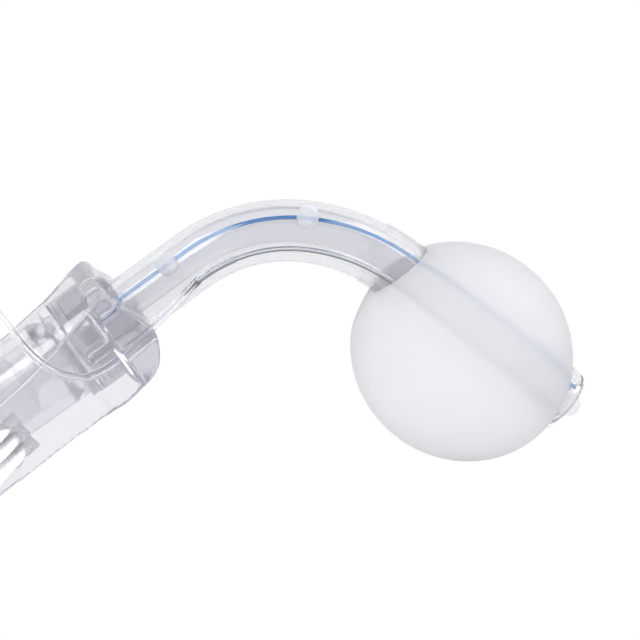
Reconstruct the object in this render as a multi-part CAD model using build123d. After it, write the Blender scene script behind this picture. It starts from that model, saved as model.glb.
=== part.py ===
from build123d import *
import os
from math import cos, pi, radians, sin, sqrt, tan

os.makedirs("parts", exist_ok=True)

# A cuffed tracheostomy tube, as it comes to rest: it stands as a bridge on its cuff and on
# the tape behind its wings. Millimetres and degrees. X runs from the hub towards the tip,
# Z is up, and the tube's curve lies in the XZ plane.

# Driving sizes of the tube
BORE_R = 3.75
TUBE_R = 5.25
HUB_PITCH = 35.0
HUB_RUN = 15.6
BEND_1_R = 26.6
BEND_1_TURN = 43.5
BEND_2_R = 34.7
BEND_2_TURN = 31.5
TIP_RUN = 36.8
TUBE_BACK = 7.0
TIP_ROUND = 1.0

# Channels in the tube's wall
LUMEN_R = 0.45
LUMEN_RHO = 4.5
LUMEN_CLOCK = -28.0
LUMEN_END_SEAL = 2.0
CUFF_PORT_STATION = 72.0
CUFF_PORT_R = 0.9
STRIPE_WIDTH = 0.7
STRIPE_DEPTH = 0.35
STRIPE_COVER = 0.25
STRIPE_CLOCK = 38.0
STRIPE_MARGIN = 1.5

# Inflation line
LINE_R = 0.7
INSERT_R = 0.6
INSERT_BORE_R = 0.3
INSERT_LENGTH = 8.2
PORT_STATION = 14.2
PORT_ANGLE = 25.0
PORT_CLEARANCE = 0.15
PORT_CUT_LENGTH = 8.0

# Resin beads on the stripe
BEAD_R = 1.9
BEAD_HEIGHT = 2.3
BEAD_CROWN_R = 0.7
BEAD_STEM_R = 0.22
BEAD_STEM_DEPTH = 1.0
BEAD_STATIONS = {"bead_rear": 12.0, "bead_front": 35.3}

# Cuff
CUFF_HALF_LENGTH = 19.5
CUFF_RADIUS = 18.3
CUFF_FILM = 0.3
CUFF_ALONG = 16.7
CUFF_DROP = 4.43
COLLAR_FILM = 0.3
COLLAR_BEHIND = 6.6
COLLAR_AHEAD = 1.2
END_COLLAR_BACK = 4.0
END_COLLAR_MARGIN = 1.4

# Neck flange: hub block, socket and wings
HUB_HALF_WIDTH = 15.5
HUB_TOP = 7.4
HUB_BOTTOM = 8.35
HUB_FACE = 1.4
HUB_NOSE = 3.0
HUB_PLATE = 4.0
HUB_CORNER_R = 2.6
HUB_ROOT_R = 2.0
SIDE_WALL = 2.4
BLOCK_DEPTH = 9.0
BOSS_R = 7.4
BOSS_TOP_R = 6.2
BOSS_HEIGHT = 0.8
SOCKET_WALL = 1.6
SOCKET_DEPTH = 5.9
SOCKET_RIB = 1.2
SOCKET_RIB_SHORT = 1.0
WING_SPLAY = 9.0
WING_THICKNESS = 1.5
WING_END = 38.0
WING_TOP = 4.0
WING_BOTTOM = 8.3
WING_END_R = 5.9
WING_BULGE = 10.4
EYELET_BACK = 27.6
EYELET_DROP = 2.3
EYELET_HEIGHT = 8.2
EYELET_WIDTH = 6.0
LINE_HOLE_R = 1.2
# The saddle's outline from the side, as distances before the hub face and shares of the
# hub's height below its top: first the leaning front with its chin, then the brow
CHIN_OUTLINE = [
    (0.0, 0.14), (1.05, 0.305), (2.1, 0.457), (2.6, 0.571), (2.45, 0.673), (1.9, 0.756),
    (1.0, 0.844), (-0.3, 0.937), (-2.5, 1.0), (-5.6, 1.035), (-7.8, 1.054), (-11.4, 1.038),
    (-15.9, 1.022), (-23.4, 1.008),
]
BROW_OUTLINE = [(-0.36, 0.044), (-0.98, 0.003), (-2.5, -0.006), (-3.8, 0.006), (-6.3, 0.044)]
BROW_OUTLINE += [(-8.8, 0.083), (-15.4, 0.152), (-19.4, 0.19)]
BROW_END = 25.0
FRONT_LEAN = 22.0

# Breathing connector
ROOT_R = 7.0
SHOULDER_R = 8.6
SHOULDER_THICKNESS = 2.0
LAND_LENGTH = 3.5
TAPER_R = 7.735
TAPER_LENGTH = 12.5
TAPER_PER_LENGTH = 1 / 80
THROAT_LENGTH = 2.5
FUNNEL_LENGTH = 4.5
FUNNEL_R = 5.6
MOUTH_R = 5.75
MOUTH_ROUND = 0.4

# Obturator
SHAFT_R = 2.0
NOSE_CLEARANCE = 0.2
NOSE_OUT = 2.5
NOSE_FACE_R = 2.45
NOSE_LENGTH = 8.0
NOSE_TAPER = 6.0
PLUG_CLEARANCE = 0.2
PLUG_LENGTH = 7.0
GRIP_DISC_R = 7.2
GRIP_DISC = 2.0
GRIP_LENGTH = 7.5
GRIP_HEIGHT = 9.0
GRIP_THICKNESS = 2.4
GRIP_HOLE_R = 1.8

# Neck tape
TAPE_WIDTH = 18.0
TAPE_THICKNESS = 1.2
TAPE_RISE_START = 31.0
TAPE_RISE_SHORT = 1.4
TAPE_FULL_FROM = 45.0
TAPE_TRIM_FRONT = 2.0
TAPE_TRIM_MARGIN = 10.0
# The loop seen from above: distances from the hub face, and sideways from the wing at the eyelet
TAPE_PLAN = [(-20.4, 1.45), (-35.0, 5.95), (-68.0, 19.55), (-112.0, 20.55), (-144.0, 1.55)]
TAPE_PLAN_RADII = [60.0, 34.0, 26.0, 22.0]
TAPE_GATHER_LOW = 5.6
TAPE_GATHER_HIGH = 13.2
TAPE_KNEE = (22.0, 3.2)
TAPE_GATHER_WIDTH = 3.2
TAPE_GATHER_SHIFT = -0.3
TAPE_GATHER_HEIGHT = 6.6
TAPE_TAB_LENGTH = 8.0
TAPE_TAB_HEIGHT = 7.0
TAPE_GAP = 0.15

# Put-away length of the line, pilot balloon and valve, which lie on the table
COIL_MEAN_R = 7.7
COIL_TURNS_HIGH = 2
COIL_TURNS_WIDE = 2
COIL_CENTRE = (-72.0, -6.0)
COIL_LIFT = 0.4
TIE_THICKNESS = 0.4
TIE_WIDTH = 3.0
TIE_CLOCK = 200.0
BALLOON_LENGTH = 22.0
BALLOON_WIDTH = 13.0
BALLOON_THICKNESS = 8.0
BALLOON_FILM = 0.4
BALLOON_NECK = 3.0
BALLOON_START = (-90.4, -2.55)
BALLOON_YAW = -155.0
SLEEVE_R = 1.5
SLEEVE_LENGTH = 6.0
VALVE_SPIGOT_R = 1.9
VALVE_SPIGOT = 6.0
VALVE_BODY_R = 3.3
VALVE_BODY = 10.0
VALVE_LUER = 8.0
VALVE_LUG_R = 3.9
VALVE_LUG = 1.6
VALVE_LUG_WIDTH = 3.4
CHAMBER_R = 2.3
LUER_MOUTH_R = 2.17
LUER_TAPER = 0.03
LIP_THICKNESS = 0.8
LIP_R = 1.35
PLUNGER_STEM_R = 0.95
PLUNGER_HEAD_R = 1.9
PLUNGER_HEAD = 2.2
PLUNGER_REACH = 5.0
PLUNGER_TRAVEL = 1.2
SEAL_THICKNESS = 0.9
SEAL_CLEARANCE = 0.15
SEAL_GAP = 0.05
SPRING_WIRE_R = 0.2
SPRING_TURNS = 5
SPRING_R = 1.5
STUB_DISC = 1.5
STUB_BORE_R = 0.8
VALVE_GRIP_RIBS = 12
VALVE_GRIP_RIB = 0.35

# The line's route from the port to the coil, seen from the hub face: the first points run
# beside the tube and through the hub, in the hub's own tilted frame
ROUTE_BY_HUB = [
    (10.9, -5.33, -2.83),
    (6.6, -6.75, -3.0),
    (2.0, -9.2, -3.3),
    (-3.6, -10.5, -3.5),
    (-9.2, -11.5, -2.9),
    (-13.6, -10.8, 0.9),
    (-15.4, -7.2, 6.2),
    (-15.3, -1.8, 11.6),
]
# The rest arches over and comes down to the table, in the level frame, heights above the table
ROUTE_TO_TABLE = [
    (-25.6, 4.4, 34.4),
    (-34.6, 9.0, 35.2),
    (-43.8, 11.6, 28.2),
    (-49.4, 11.8, 18.0),
    (-53.4, 10.4, 8.4),
    (-59.2, 6.0, 2.6),
    (-66.0, 2.9, 1.5),
]
TAIL_ROUTE = [
    (-77.5, 2.2, 3.2),
    (-82.8, 1.0, 4.0),
]


# Derived sizes
ARC_1 = BEND_1_R * radians(BEND_1_TURN)
ARC_2 = BEND_2_R * radians(BEND_2_TURN)
NECK_STATION = HUB_RUN + ARC_1 + ARC_2
TIP_STATION = NECK_STATION + TIP_RUN
TIP_PITCH = HUB_PITCH - BEND_1_TURN - BEND_2_TURN
STRETCHES = [
    (-TUBE_BACK, HUB_RUN, None),
    (HUB_RUN, HUB_RUN + ARC_1, BEND_1_R),
    (HUB_RUN + ARC_1, NECK_STATION, BEND_2_R),
    (NECK_STATION, TIP_STATION, None),
]


def axis_at(station):
    """Point and pitch of the tube's centre line, at a distance from the hub face."""
    x = -TUBE_BACK * cos(radians(HUB_PITCH))
    z = -TUBE_BACK * sin(radians(HUB_PITCH))
    pitch = radians(HUB_PITCH)
    for start, end, radius in STRETCHES:
        last = station <= end or end == TIP_STATION
        run = (station if last else end) - start
        if radius is None:
            x += run * cos(pitch)
            z += run * sin(pitch)
        else:
            turned = pitch - run / radius
            x += radius * (sin(pitch) - sin(turned))
            z += radius * (cos(turned) - cos(pitch))
            pitch = turned
        if last:
            break
    return x, z, pitch


def axis_vector(station):
    x, z, _ = axis_at(station)
    return Vector(x, 0, z)


def axis_wire(first, final):
    """The centre line between two stations, as lines and arcs."""
    edges = []
    for start, end, radius in STRETCHES:
        low = max(first, start)
        high = min(final, end)
        if high - low < 1e-6:
            continue
        if radius is None:
            edges.append(Edge.make_line(axis_vector(low), axis_vector(high)))
        else:
            middle = axis_vector((low + high) / 2)
            edges.append(Edge.make_three_point_arc(axis_vector(low), middle, axis_vector(high)))
    return Wire(edges)


def section_at(station):
    """The plane across the tube: its X is towards the far side, its Y away from the curve's centre."""
    x, z, pitch = axis_at(station)
    return Plane(origin=(x, 0, z), x_dir=(0, 1, 0), z_dir=(cos(pitch), 0, sin(pitch)))


def clock_spot(rho, clock):
    """A place in the section plane, by radius and by angle above the near side."""
    return Pos(-rho * cos(radians(clock)), rho * sin(radians(clock)))


def run_along(profile, first, final):
    return sweep(section_at(first) * profile, path=axis_wire(first, final))


HUB = Rot(0, -HUB_PITCH, 0)
NECK = Pos(axis_vector(NECK_STATION)) * Rot(0, -TIP_PITCH, 0)
CUFF_CENTRE = NECK * Pos(CUFF_ALONG, 0, -CUFF_DROP)
CUFF_REACH_DOWN = sqrt(
    (CUFF_HALF_LENGTH * sin(radians(TIP_PITCH))) ** 2 + (CUFF_RADIUS * cos(radians(TIP_PITCH))) ** 2
)
TABLE = CUFF_CENTRE.position.Z - CUFF_REACH_DOWN


# The tube
def bead_stem(station, radius):
    """A short pin into the wall where a bead closes its hole."""
    plane = section_at(station)
    direction = -plane.x_dir * cos(radians(STRIPE_CLOCK)) + plane.y_dir * sin(radians(STRIPE_CLOCK))
    foot = plane.origin + direction * (TUBE_R - BEAD_STEM_DEPTH)
    return Plane(origin=foot, z_dir=direction) * Cylinder(
        radius, BEAD_STEM_DEPTH + BEAD_CROWN_R, align=(Align.CENTER, Align.CENTER, Align.MIN)
    )


def make_stripe():
    rho = TUBE_R - STRIPE_COVER - STRIPE_DEPTH / 2
    profile = clock_spot(rho, STRIPE_CLOCK) * Rot(0, 0, -STRIPE_CLOCK) * Rectangle(STRIPE_DEPTH, STRIPE_WIDTH)
    return run_along(profile, -TUBE_BACK + STRIPE_MARGIN, TIP_STATION - STRIPE_MARGIN)


def insert_channel():
    profile = clock_spot(LUMEN_RHO, LUMEN_CLOCK) * Circle(INSERT_R)
    return run_along(profile, PORT_STATION, PORT_STATION + INSERT_LENGTH)


def port_direction():
    """Which way the line leaves the tube: back along it and outwards."""
    outward = radians(PORT_ANGLE)
    clock = radians(LUMEN_CLOCK)
    return Vector(-cos(outward), -sin(outward) * cos(clock), sin(outward) * sin(clock))


def port_point():
    clock = radians(LUMEN_CLOCK)
    return Vector(PORT_STATION, -LUMEN_RHO * cos(clock), LUMEN_RHO * sin(clock))


def port_cut():
    cutter = Cylinder(
        LINE_R + PORT_CLEARANCE, PORT_CUT_LENGTH, align=(Align.CENTER, Align.CENTER, Align.MIN)
    )
    return HUB * (Plane(origin=port_point(), z_dir=port_direction()) * cutter)


def make_tube(stripe):
    body = run_along(Circle(TUBE_R), -TUBE_BACK, TIP_STATION)
    tip = axis_vector(TIP_STATION)
    circles = body.edges().filter_by(GeomType.CIRCLE)
    rims = [edge for edge in circles if (edge.arc_center - tip).length < 0.01]
    body = fillet(rims, TIP_ROUND)
    body -= run_along(Circle(BORE_R), -TUBE_BACK, TIP_STATION)
    lumen = clock_spot(LUMEN_RHO, LUMEN_CLOCK) * Circle(LUMEN_R)
    body -= run_along(lumen, PORT_STATION, TIP_STATION)
    body -= insert_channel()
    body -= port_cut()
    plane = section_at(CUFF_PORT_STATION)
    clock = radians(LUMEN_CLOCK)
    direction = -plane.x_dir * cos(clock) + plane.y_dir * sin(clock)
    opening = Cylinder(CUFF_PORT_R, TUBE_R, align=(Align.CENTER, Align.CENTER, Align.MIN))
    body -= Plane(origin=plane.origin + direction * LUMEN_RHO, z_dir=direction) * opening
    body -= stripe
    for station in BEAD_STATIONS.values():
        body -= bead_stem(station, BEAD_STEM_R)
    return body


def make_bead(station):
    """A gumdrop of resin that sits on the tube and reaches into its hole."""
    plane = section_at(station)
    direction = -plane.x_dir * cos(radians(STRIPE_CLOCK)) + plane.y_dir * sin(radians(STRIPE_CLOCK))
    seat = Plane(origin=plane.origin + direction * TUBE_R, x_dir=plane.z_dir, z_dir=direction)
    foot = -TUBE_R + sqrt(TUBE_R**2 - BEAD_R**2)
    side = Line((BEAD_R, foot), (BEAD_R * 0.93, 0.35))
    crown = Spline(
        side @ 1, (BEAD_CROWN_R, BEAD_HEIGHT * 0.86), (0, BEAD_HEIGHT), tangents=[(-0.3, 1), (-1, 0)]
    )
    outline = side + crown + Polyline((0, BEAD_HEIGHT), (0, foot), (BEAD_R, foot))
    drop = seat * revolve(Plane.XZ * make_face(outline), Axis.Z)
    drop -= run_along(Circle(TUBE_R), station - 2 * BEAD_R, station + 2 * BEAD_R)
    return drop + bead_stem(station, BEAD_STEM_R)


def make_insert():
    profile = clock_spot(LUMEN_RHO, LUMEN_CLOCK) * (Circle(INSERT_R) - Circle(INSERT_BORE_R))
    return run_along(profile, PORT_STATION, PORT_STATION + INSERT_LENGTH)


def make_lumen_plug():
    profile = clock_spot(LUMEN_RHO, LUMEN_CLOCK) * Circle(LUMEN_R)
    return run_along(profile, TIP_STATION - TIP_ROUND - LUMEN_END_SEAL, TIP_STATION - TIP_ROUND)


# The cuff
def ellipsoid(half_length, radius):
    """An ellipse turned about the tube's direction."""
    upper_half = Pos(0, radius) * Rectangle(4 * half_length, 2 * radius)
    return revolve(Ellipse(half_length, radius) & upper_half, Axis.X)


def make_cuff():
    balloon = ellipsoid(CUFF_HALF_LENGTH, CUFF_RADIUS)
    balloon -= ellipsoid(CUFF_HALF_LENGTH - CUFF_FILM, CUFF_RADIUS - CUFF_FILM)
    film = CUFF_CENTRE * balloon
    sleeve = Circle(TUBE_R + COLLAR_FILM)
    last = TIP_STATION - TIP_ROUND - END_COLLAR_MARGIN
    film += run_along(sleeve, NECK_STATION - COLLAR_BEHIND, NECK_STATION + COLLAR_AHEAD)
    film += run_along(sleeve, last - END_COLLAR_BACK, last)
    return film - run_along(Circle(TUBE_R), NECK_STATION - 2 * COLLAR_BEHIND, TIP_STATION)


# The neck flange, in the hub's frame: X along the tube, Y across, Z up
def wing_outer(back):
    """Distance of the wing's outer face from the middle, at a distance behind the hub face."""
    return HUB_HALF_WIDTH + (back - BLOCK_DEPTH) * tan(radians(WING_SPLAY))


def flange_plan():
    """Half of the saddle seen from above: plate, thick side wall and thin splayed wing."""
    plate_back = HUB_FACE - HUB_PLATE
    inner = HUB_HALF_WIDTH - SIDE_WALL
    wing_in = WING_THICKNESS / cos(radians(WING_SPLAY))
    corner = (HUB_FACE + HUB_NOSE, HUB_HALF_WIDTH)
    points = [
        (HUB_FACE + HUB_NOSE, 0),
        corner,
        (-BLOCK_DEPTH, HUB_HALF_WIDTH),
        (-WING_END, wing_outer(WING_END)),
        (-WING_END, wing_outer(WING_END) - wing_in),
        (-WING_BULGE, wing_outer(WING_BULGE) - wing_in),
        (-BLOCK_DEPTH, inner),
        (plate_back, inner),
        (plate_back, 0),
    ]
    face = make_face(Polyline(*points, close=True))
    outer = face.vertices().sort_by_distance((*corner, 0))[0]
    face = fillet(outer, HUB_CORNER_R)
    root = face.vertices().sort_by_distance((plate_back, inner, 0))[0]
    return fillet(root, HUB_ROOT_R)


def side_points(outline):
    return [(HUB_FACE + ahead, HUB_TOP - share * (HUB_TOP + HUB_BOTTOM)) for ahead, share in outline]


def flange_side():
    """The saddle's outline seen from the side: high at the hub, lower along the wings."""
    lean = (sin(radians(FRONT_LEAN)), -cos(radians(FRONT_LEAN)))
    chin = Spline(*side_points(CHIN_OUTLINE), tangents=[lean, (-1, 0)])
    brow_points = [(-BROW_END, WING_TOP)] + side_points(BROW_OUTLINE)[::-1] + [chin @ 0]
    brow = Spline(*brow_points, tangents=[(1, 0), lean])
    rim = Polyline(chin @ 1, (-WING_END, -WING_BOTTOM), (-WING_END, WING_TOP), (-BROW_END, WING_TOP))
    face = make_face(chin + rim + brow)
    for height in (WING_TOP, -WING_BOTTOM):
        spot = face.vertices().sort_by_distance((-WING_END, height, 0))[0]
        face = fillet(spot, WING_END_R)
    return face


def line_passage():
    """The way through the plate for the inflation line, along the line's own route."""
    points = [Vector(*point) for point in ROUTE_BY_HUB[1:5]]
    way = None
    for start, end in zip(points, points[1:]):
        plane = Plane(origin=start, z_dir=end - start)
        run = plane * Cylinder(
            LINE_HOLE_R, (end - start).length, align=(Align.CENTER, Align.CENTER, Align.MIN)
        )
        run += Pos(start) * Sphere(LINE_HOLE_R)
        way = run if way is None else way + run
    return way


def make_flange():
    half = flange_plan()
    plan = half + mirror(half, about=Plane.XZ)
    tall = HUB_TOP + HUB_BOTTOM
    slab = Pos(0, 0, -HUB_BOTTOM - tall / 2) * extrude(plan, 2 * tall)
    wide = wing_outer(WING_END) + 2
    side = extrude(Plane.XZ * flange_side(), wide, both=True)
    body = slab & side
    # conical boss round the tube
    boss = Polyline(
        (HUB_FACE - 0.5, 0), (HUB_FACE - 0.5, BOSS_R), (HUB_FACE, BOSS_R),
        (HUB_FACE + BOSS_HEIGHT, BOSS_TOP_R), (HUB_FACE + BOSS_HEIGHT, 0), close=True,
    )
    body += revolve(make_face(boss), Axis.X)
    # socket round the connector's root, held to the side walls by two ribs
    plate_back = HUB_FACE - HUB_PLATE
    socket = Cylinder(ROOT_R + SOCKET_WALL, SOCKET_DEPTH, align=(Align.CENTER, Align.CENTER, Align.MAX))
    body += Pos(plate_back, 0, 0) * Rot(0, 90, 0) * socket
    rib = Box(
        SOCKET_DEPTH - SOCKET_RIB_SHORT, 2 * HUB_HALF_WIDTH - SIDE_WALL, SOCKET_RIB,
        align=(Align.MAX, Align.CENTER, Align.CENTER),
    )
    body += Pos(plate_back, 0, 0) * rib
    hollow = Cylinder(ROOT_R, 2 * SOCKET_DEPTH, align=(Align.CENTER, Align.CENTER, Align.MAX))
    body -= Pos(plate_back, 0, 0) * Rot(0, 90, 0) * hollow
    body -= Rot(0, 90, 0) * Cylinder(TUBE_R, 4 * HUB_PLATE)
    body -= line_passage()
    eyelet = SlotOverall(EYELET_HEIGHT, EYELET_WIDTH, rotation=90)
    eyelets = extrude(Plane.XZ * Pos(-EYELET_BACK, -EYELET_DROP) * eyelet, wide, both=True)
    return HUB * (body - eyelets)


# The breathing connector
def connector_outline():
    front = HUB_FACE - HUB_PLATE
    shoulder = front - SOCKET_DEPTH
    land = shoulder - SHOULDER_THICKNESS
    taper = land - LAND_LENGTH
    mouth = taper - TAPER_LENGTH
    return front, shoulder, land, taper, mouth


def make_connector():
    front, shoulder, land, taper, mouth = connector_outline()
    end_r = TAPER_R - TAPER_LENGTH * TAPER_PER_LENGTH
    throat = -TUBE_BACK - THROAT_LENGTH
    funnel = throat - FUNNEL_LENGTH
    profile = make_face(
        Polyline(
            (front, TUBE_R), (front, ROOT_R), (shoulder, ROOT_R), (shoulder, SHOULDER_R), (land, SHOULDER_R),
            (land, TAPER_R), (taper, TAPER_R), (mouth, end_r), (mouth, MOUTH_R), (funnel, FUNNEL_R),
            (throat, BORE_R), (-TUBE_BACK, BORE_R), (-TUBE_BACK, TUBE_R), close=True,
        )
    )
    for spot in ((mouth, end_r), (land, SHOULDER_R), (mouth, MOUTH_R)):
        vertex = profile.vertices().sort_by_distance((*spot, 0))[0]
        profile = fillet(vertex, MOUTH_ROUND)
    return HUB * revolve(profile, Axis.X)


# The obturator
def make_obturator():
    mouth = connector_outline()[-1]
    nose_r = BORE_R - NOSE_CLEARANCE
    # nose in its own frame: X = 0 at the tube's end
    dome = Spline(
        (NOSE_OUT, 0), (0, NOSE_FACE_R), (-NOSE_LENGTH * 0.45, nose_r), tangents=[(0, 1), (-1, 0)]
    )
    rest = Polyline(
        dome @ 1, (-NOSE_LENGTH, nose_r), (-NOSE_LENGTH - NOSE_TAPER, SHAFT_R),
        (-NOSE_LENGTH - NOSE_TAPER - 1, SHAFT_R), (-NOSE_LENGTH - NOSE_TAPER - 1, 0), (NOSE_OUT, 0),
    )
    tip = axis_vector(TIP_STATION)
    nose = Pos(tip) * Rot(0, -TIP_PITCH, 0) * revolve(make_face(dome + rest), Axis.X)
    shaft = run_along(Circle(SHAFT_R), -TUBE_BACK, TIP_STATION - NOSE_LENGTH - NOSE_TAPER - 0.5)
    plug_r = FUNNEL_R - PLUG_CLEARANCE
    plug_front = mouth + PLUG_LENGTH
    handle = revolve(
        make_face(
            Polyline(
                (-TUBE_BACK, 0), (-TUBE_BACK, SHAFT_R), (plug_front + 1.5, SHAFT_R), (plug_front, plug_r),
                (mouth, plug_r), (mouth, GRIP_DISC_R), (mouth - GRIP_DISC, GRIP_DISC_R),
                (mouth - GRIP_DISC, 0), close=True,
            )
        ),
        Axis.X,
    )
    tab = Pos(mouth - GRIP_DISC - GRIP_LENGTH / 2, 0) * RectangleRounded(
        GRIP_LENGTH + 2, GRIP_HEIGHT, GRIP_HEIGHT * 0.3
    )
    tab -= Pos(mouth - GRIP_DISC - GRIP_LENGTH * 0.55, 0) * Circle(GRIP_HOLE_R)
    handle += extrude(Plane.XZ * tab, GRIP_THICKNESS / 2, both=True)
    return nose + shaft + HUB * handle


# The neck tape
def wing_frame():
    """On the far wing's outer face at the eyelet: X back along the wing, Y outwards, Z up."""
    splay = radians(WING_SPLAY)
    origin = (-EYELET_BACK, wing_outer(EYELET_BACK), -EYELET_DROP)
    return Plane(origin=origin, x_dir=(-cos(splay), sin(splay), 0), z_dir=(0, 0, -1))


def make_tape():
    wing = wing_outer(EYELET_BACK)
    far = [(x, wing + y) for x, y in TAPE_PLAN]
    near = [(x, -y) for x, y in reversed(far)]
    line = FilletPolyline(*far, *near, radius=TAPE_PLAN_RADII + TAPE_PLAN_RADII[::-1])
    band = extrude(trace(line, line_width=TAPE_THICKNESS), TAPE_WIDTH)
    back = far[-1][0] - TAPE_TRIM_MARGIN
    front = far[0][0] + TAPE_TRIM_FRONT
    envelope = Polyline(
        (front, TAPE_GATHER_LOW + TAPE_TRIM_FRONT), (front, TAPE_GATHER_HIGH),
        (-TAPE_RISE_START, TAPE_WIDTH - TAPE_RISE_SHORT), (-TAPE_FULL_FROM, TAPE_WIDTH),
        (back, TAPE_WIDTH), (back, 0), (-TAPE_RISE_START, 0), (-TAPE_KNEE[0], TAPE_KNEE[1]), close=True,
    )
    reach = max(y for _, y in far) + TAPE_TRIM_MARGIN
    band = Pos(0, 0, TABLE) * (band & extrude(Plane.XZ * make_face(envelope), reach, both=True))
    # the gathered part goes through the eyelet, and a tab of it lies inside the wing
    through_depth = WING_THICKNESS + 2 * TAPE_THICKNESS + 2 * TAPE_GAP
    middle = -(WING_THICKNESS / 2)
    gather = Pos(TAPE_GATHER_SHIFT, -middle, 0) * Box(TAPE_GATHER_WIDTH, through_depth, TAPE_GATHER_HEIGHT)
    inside = WING_THICKNESS + TAPE_GAP + TAPE_THICKNESS / 2
    tab = Box(TAPE_TAB_LENGTH, TAPE_THICKNESS, TAPE_TAB_HEIGHT, align=(Align.MAX, Align.CENTER, Align.CENTER))
    return band, gather, Pos(TAPE_GATHER_SHIFT + TAPE_GATHER_WIDTH / 2, inside, 0) * tab


def make_neck_tape():
    band, gather, tab = make_tape()
    end = HUB * (wing_frame() * (gather + tab))
    return band + end + mirror(end, about=Plane.XZ)


# The put-away line, the pilot balloon and its valve
def coil_height():
    return 2 * LINE_R * COIL_TURNS_HIGH


def coil_middle():
    return Vector(*COIL_CENTRE, TABLE + COIL_LIFT + coil_height() / 2)


def coil_section(margin=0.0):
    across = 2 * LINE_R * COIL_TURNS_WIDE + 2 * margin
    tall = coil_height() + 2 * margin
    return RectangleRounded(across, tall, LINE_R * 0.9 + margin)


def make_coil():
    ring = revolve(Plane.XZ * Pos(COIL_MEAN_R, 0) * coil_section(), Axis.Z)
    return Pos(coil_middle()) * ring


def make_coil_tie():
    """A narrow band wrapped once round the coil's section."""
    loop = coil_section(TIE_THICKNESS) - coil_section()
    band = extrude(Plane.XZ * Pos(COIL_MEAN_R, 0) * loop, TIE_WIDTH / 2, both=True)
    return Pos(coil_middle()) * Rot(0, 0, TIE_CLOCK) * band - make_coil()


def balloon_place():
    return Pos(*BALLOON_START, TABLE + BALLOON_THICKNESS / 2) * Rot(0, 0, BALLOON_YAW)


def make_tail():
    """The line from the coil to the pilot balloon's sleeve."""
    points = [coil_middle() + Vector(0, COIL_MEAN_R, 0)]
    points += [Vector(x, y, z + TABLE) for x, y, z in TAIL_ROUTE]
    points.append((balloon_place() * Pos(-BALLOON_NECK, 0, 0)).position)
    return cord_tube("tail", points) - make_coil()


def pouch(margin):
    """A flat oval bag with round edges, no rounder than the oval's ends allow."""
    half_length = BALLOON_LENGTH / 2 - margin
    half_width = BALLOON_WIDTH / 2 - margin
    thickness = BALLOON_THICKNESS - 2 * margin
    bag = extrude(Pos(BALLOON_LENGTH / 2, 0) * Ellipse(half_length, half_width), thickness / 2, both=True)
    end_radius = min(half_width, half_length) ** 2 / max(half_width, half_length)
    return fillet(bag.edges(), min(thickness * 0.46, end_radius * 0.95))


def neck_tube(radius, start, end):
    rod = Cylinder(radius, end - start, align=(Align.CENTER, Align.CENTER, Align.MIN))
    return Pos(start, 0, 0) * Rot(0, 90, 0) * rod


def make_balloon():
    bag = pouch(0)
    end = BALLOON_LENGTH + BALLOON_NECK
    bag += neck_tube(SLEEVE_R + BALLOON_FILM, -BALLOON_NECK, BALLOON_NECK)
    bag += neck_tube(VALVE_SPIGOT_R + BALLOON_FILM, BALLOON_LENGTH - BALLOON_NECK, end)
    bag -= pouch(BALLOON_FILM)
    bag -= neck_tube(SLEEVE_R, -BALLOON_NECK, BALLOON_NECK)
    bag -= neck_tube(VALVE_SPIGOT_R, BALLOON_LENGTH - BALLOON_NECK, end)
    return balloon_place() * bag


def make_sleeve():
    length = SLEEVE_LENGTH
    sleeve = neck_tube(SLEEVE_R, -BALLOON_NECK, length - BALLOON_NECK)
    return balloon_place() * (sleeve - neck_tube(LINE_R / 2, -BALLOON_NECK, length))


def valve_place():
    return balloon_place() * Pos(BALLOON_LENGTH + BALLOON_NECK - VALVE_SPIGOT, 0, 0)


def make_valve_stub():
    """The spigot in the balloon's neck, with the disc that the spring stands on."""
    stub = neck_tube(VALVE_SPIGOT_R, 0, VALVE_SPIGOT) + neck_tube(CHAMBER_R, VALVE_SPIGOT, VALVE_SPIGOT + STUB_DISC)
    return valve_place() * (stub - neck_tube(STUB_BORE_R, 0, VALVE_SPIGOT + STUB_DISC))


def valve_lip():
    """Where the chamber ends and the luer socket begins."""
    return VALVE_SPIGOT + VALVE_BODY - LIP_THICKNESS


def make_valve_housing():
    body_end = VALVE_SPIGOT + VALVE_BODY
    mouth = body_end + VALVE_LUER
    luer_root_r = LUER_MOUTH_R - LUER_TAPER * VALVE_LUER
    outline = Polyline(
        (VALVE_SPIGOT, CHAMBER_R), (VALVE_SPIGOT, VALVE_BODY_R), (body_end, VALVE_BODY_R),
        (body_end + 1, VALVE_BODY_R - 0.3), (mouth, VALVE_BODY_R - 0.3), (mouth, LUER_MOUTH_R),
        (body_end, luer_root_r), (body_end, LIP_R), (valve_lip(), LIP_R), (valve_lip(), CHAMBER_R),
        close=True,
    )
    housing = revolve(make_face(outline), Axis.X)
    for turn in range(VALVE_GRIP_RIBS):
        rib = Pos(VALVE_SPIGOT + VALVE_BODY / 2, 0, VALVE_BODY_R) * Box(
            VALVE_BODY - 3, 2 * VALVE_GRIP_RIB, 2 * VALVE_GRIP_RIB
        )
        housing += Rot(turn * 360 / VALVE_GRIP_RIBS, 0, 0) * rib
    lug = neck_tube(VALVE_LUG_R, mouth - VALVE_LUG, mouth) - neck_tube(VALVE_BODY_R - 0.5, 0, mouth)
    housing += lug & Pos(mouth, 0, 0) * Box(4 * VALVE_LUG, 3 * VALVE_LUG_R, VALVE_LUG_WIDTH)
    return valve_place() * housing


def plunger_seal_start():
    return valve_lip() - SEAL_GAP - SEAL_THICKNESS


def make_plunger():
    head_start = plunger_seal_start() - PLUNGER_HEAD
    head = neck_tube(PLUNGER_HEAD_R, head_start, plunger_seal_start())
    stem = neck_tube(PLUNGER_STEM_R, plunger_seal_start(), valve_lip() + PLUNGER_REACH)
    stem_end = stem.edges().sort_by(Axis.X)[-1]
    return valve_place() * (head + fillet(stem_end, PLUNGER_STEM_R * 0.4))


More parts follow.
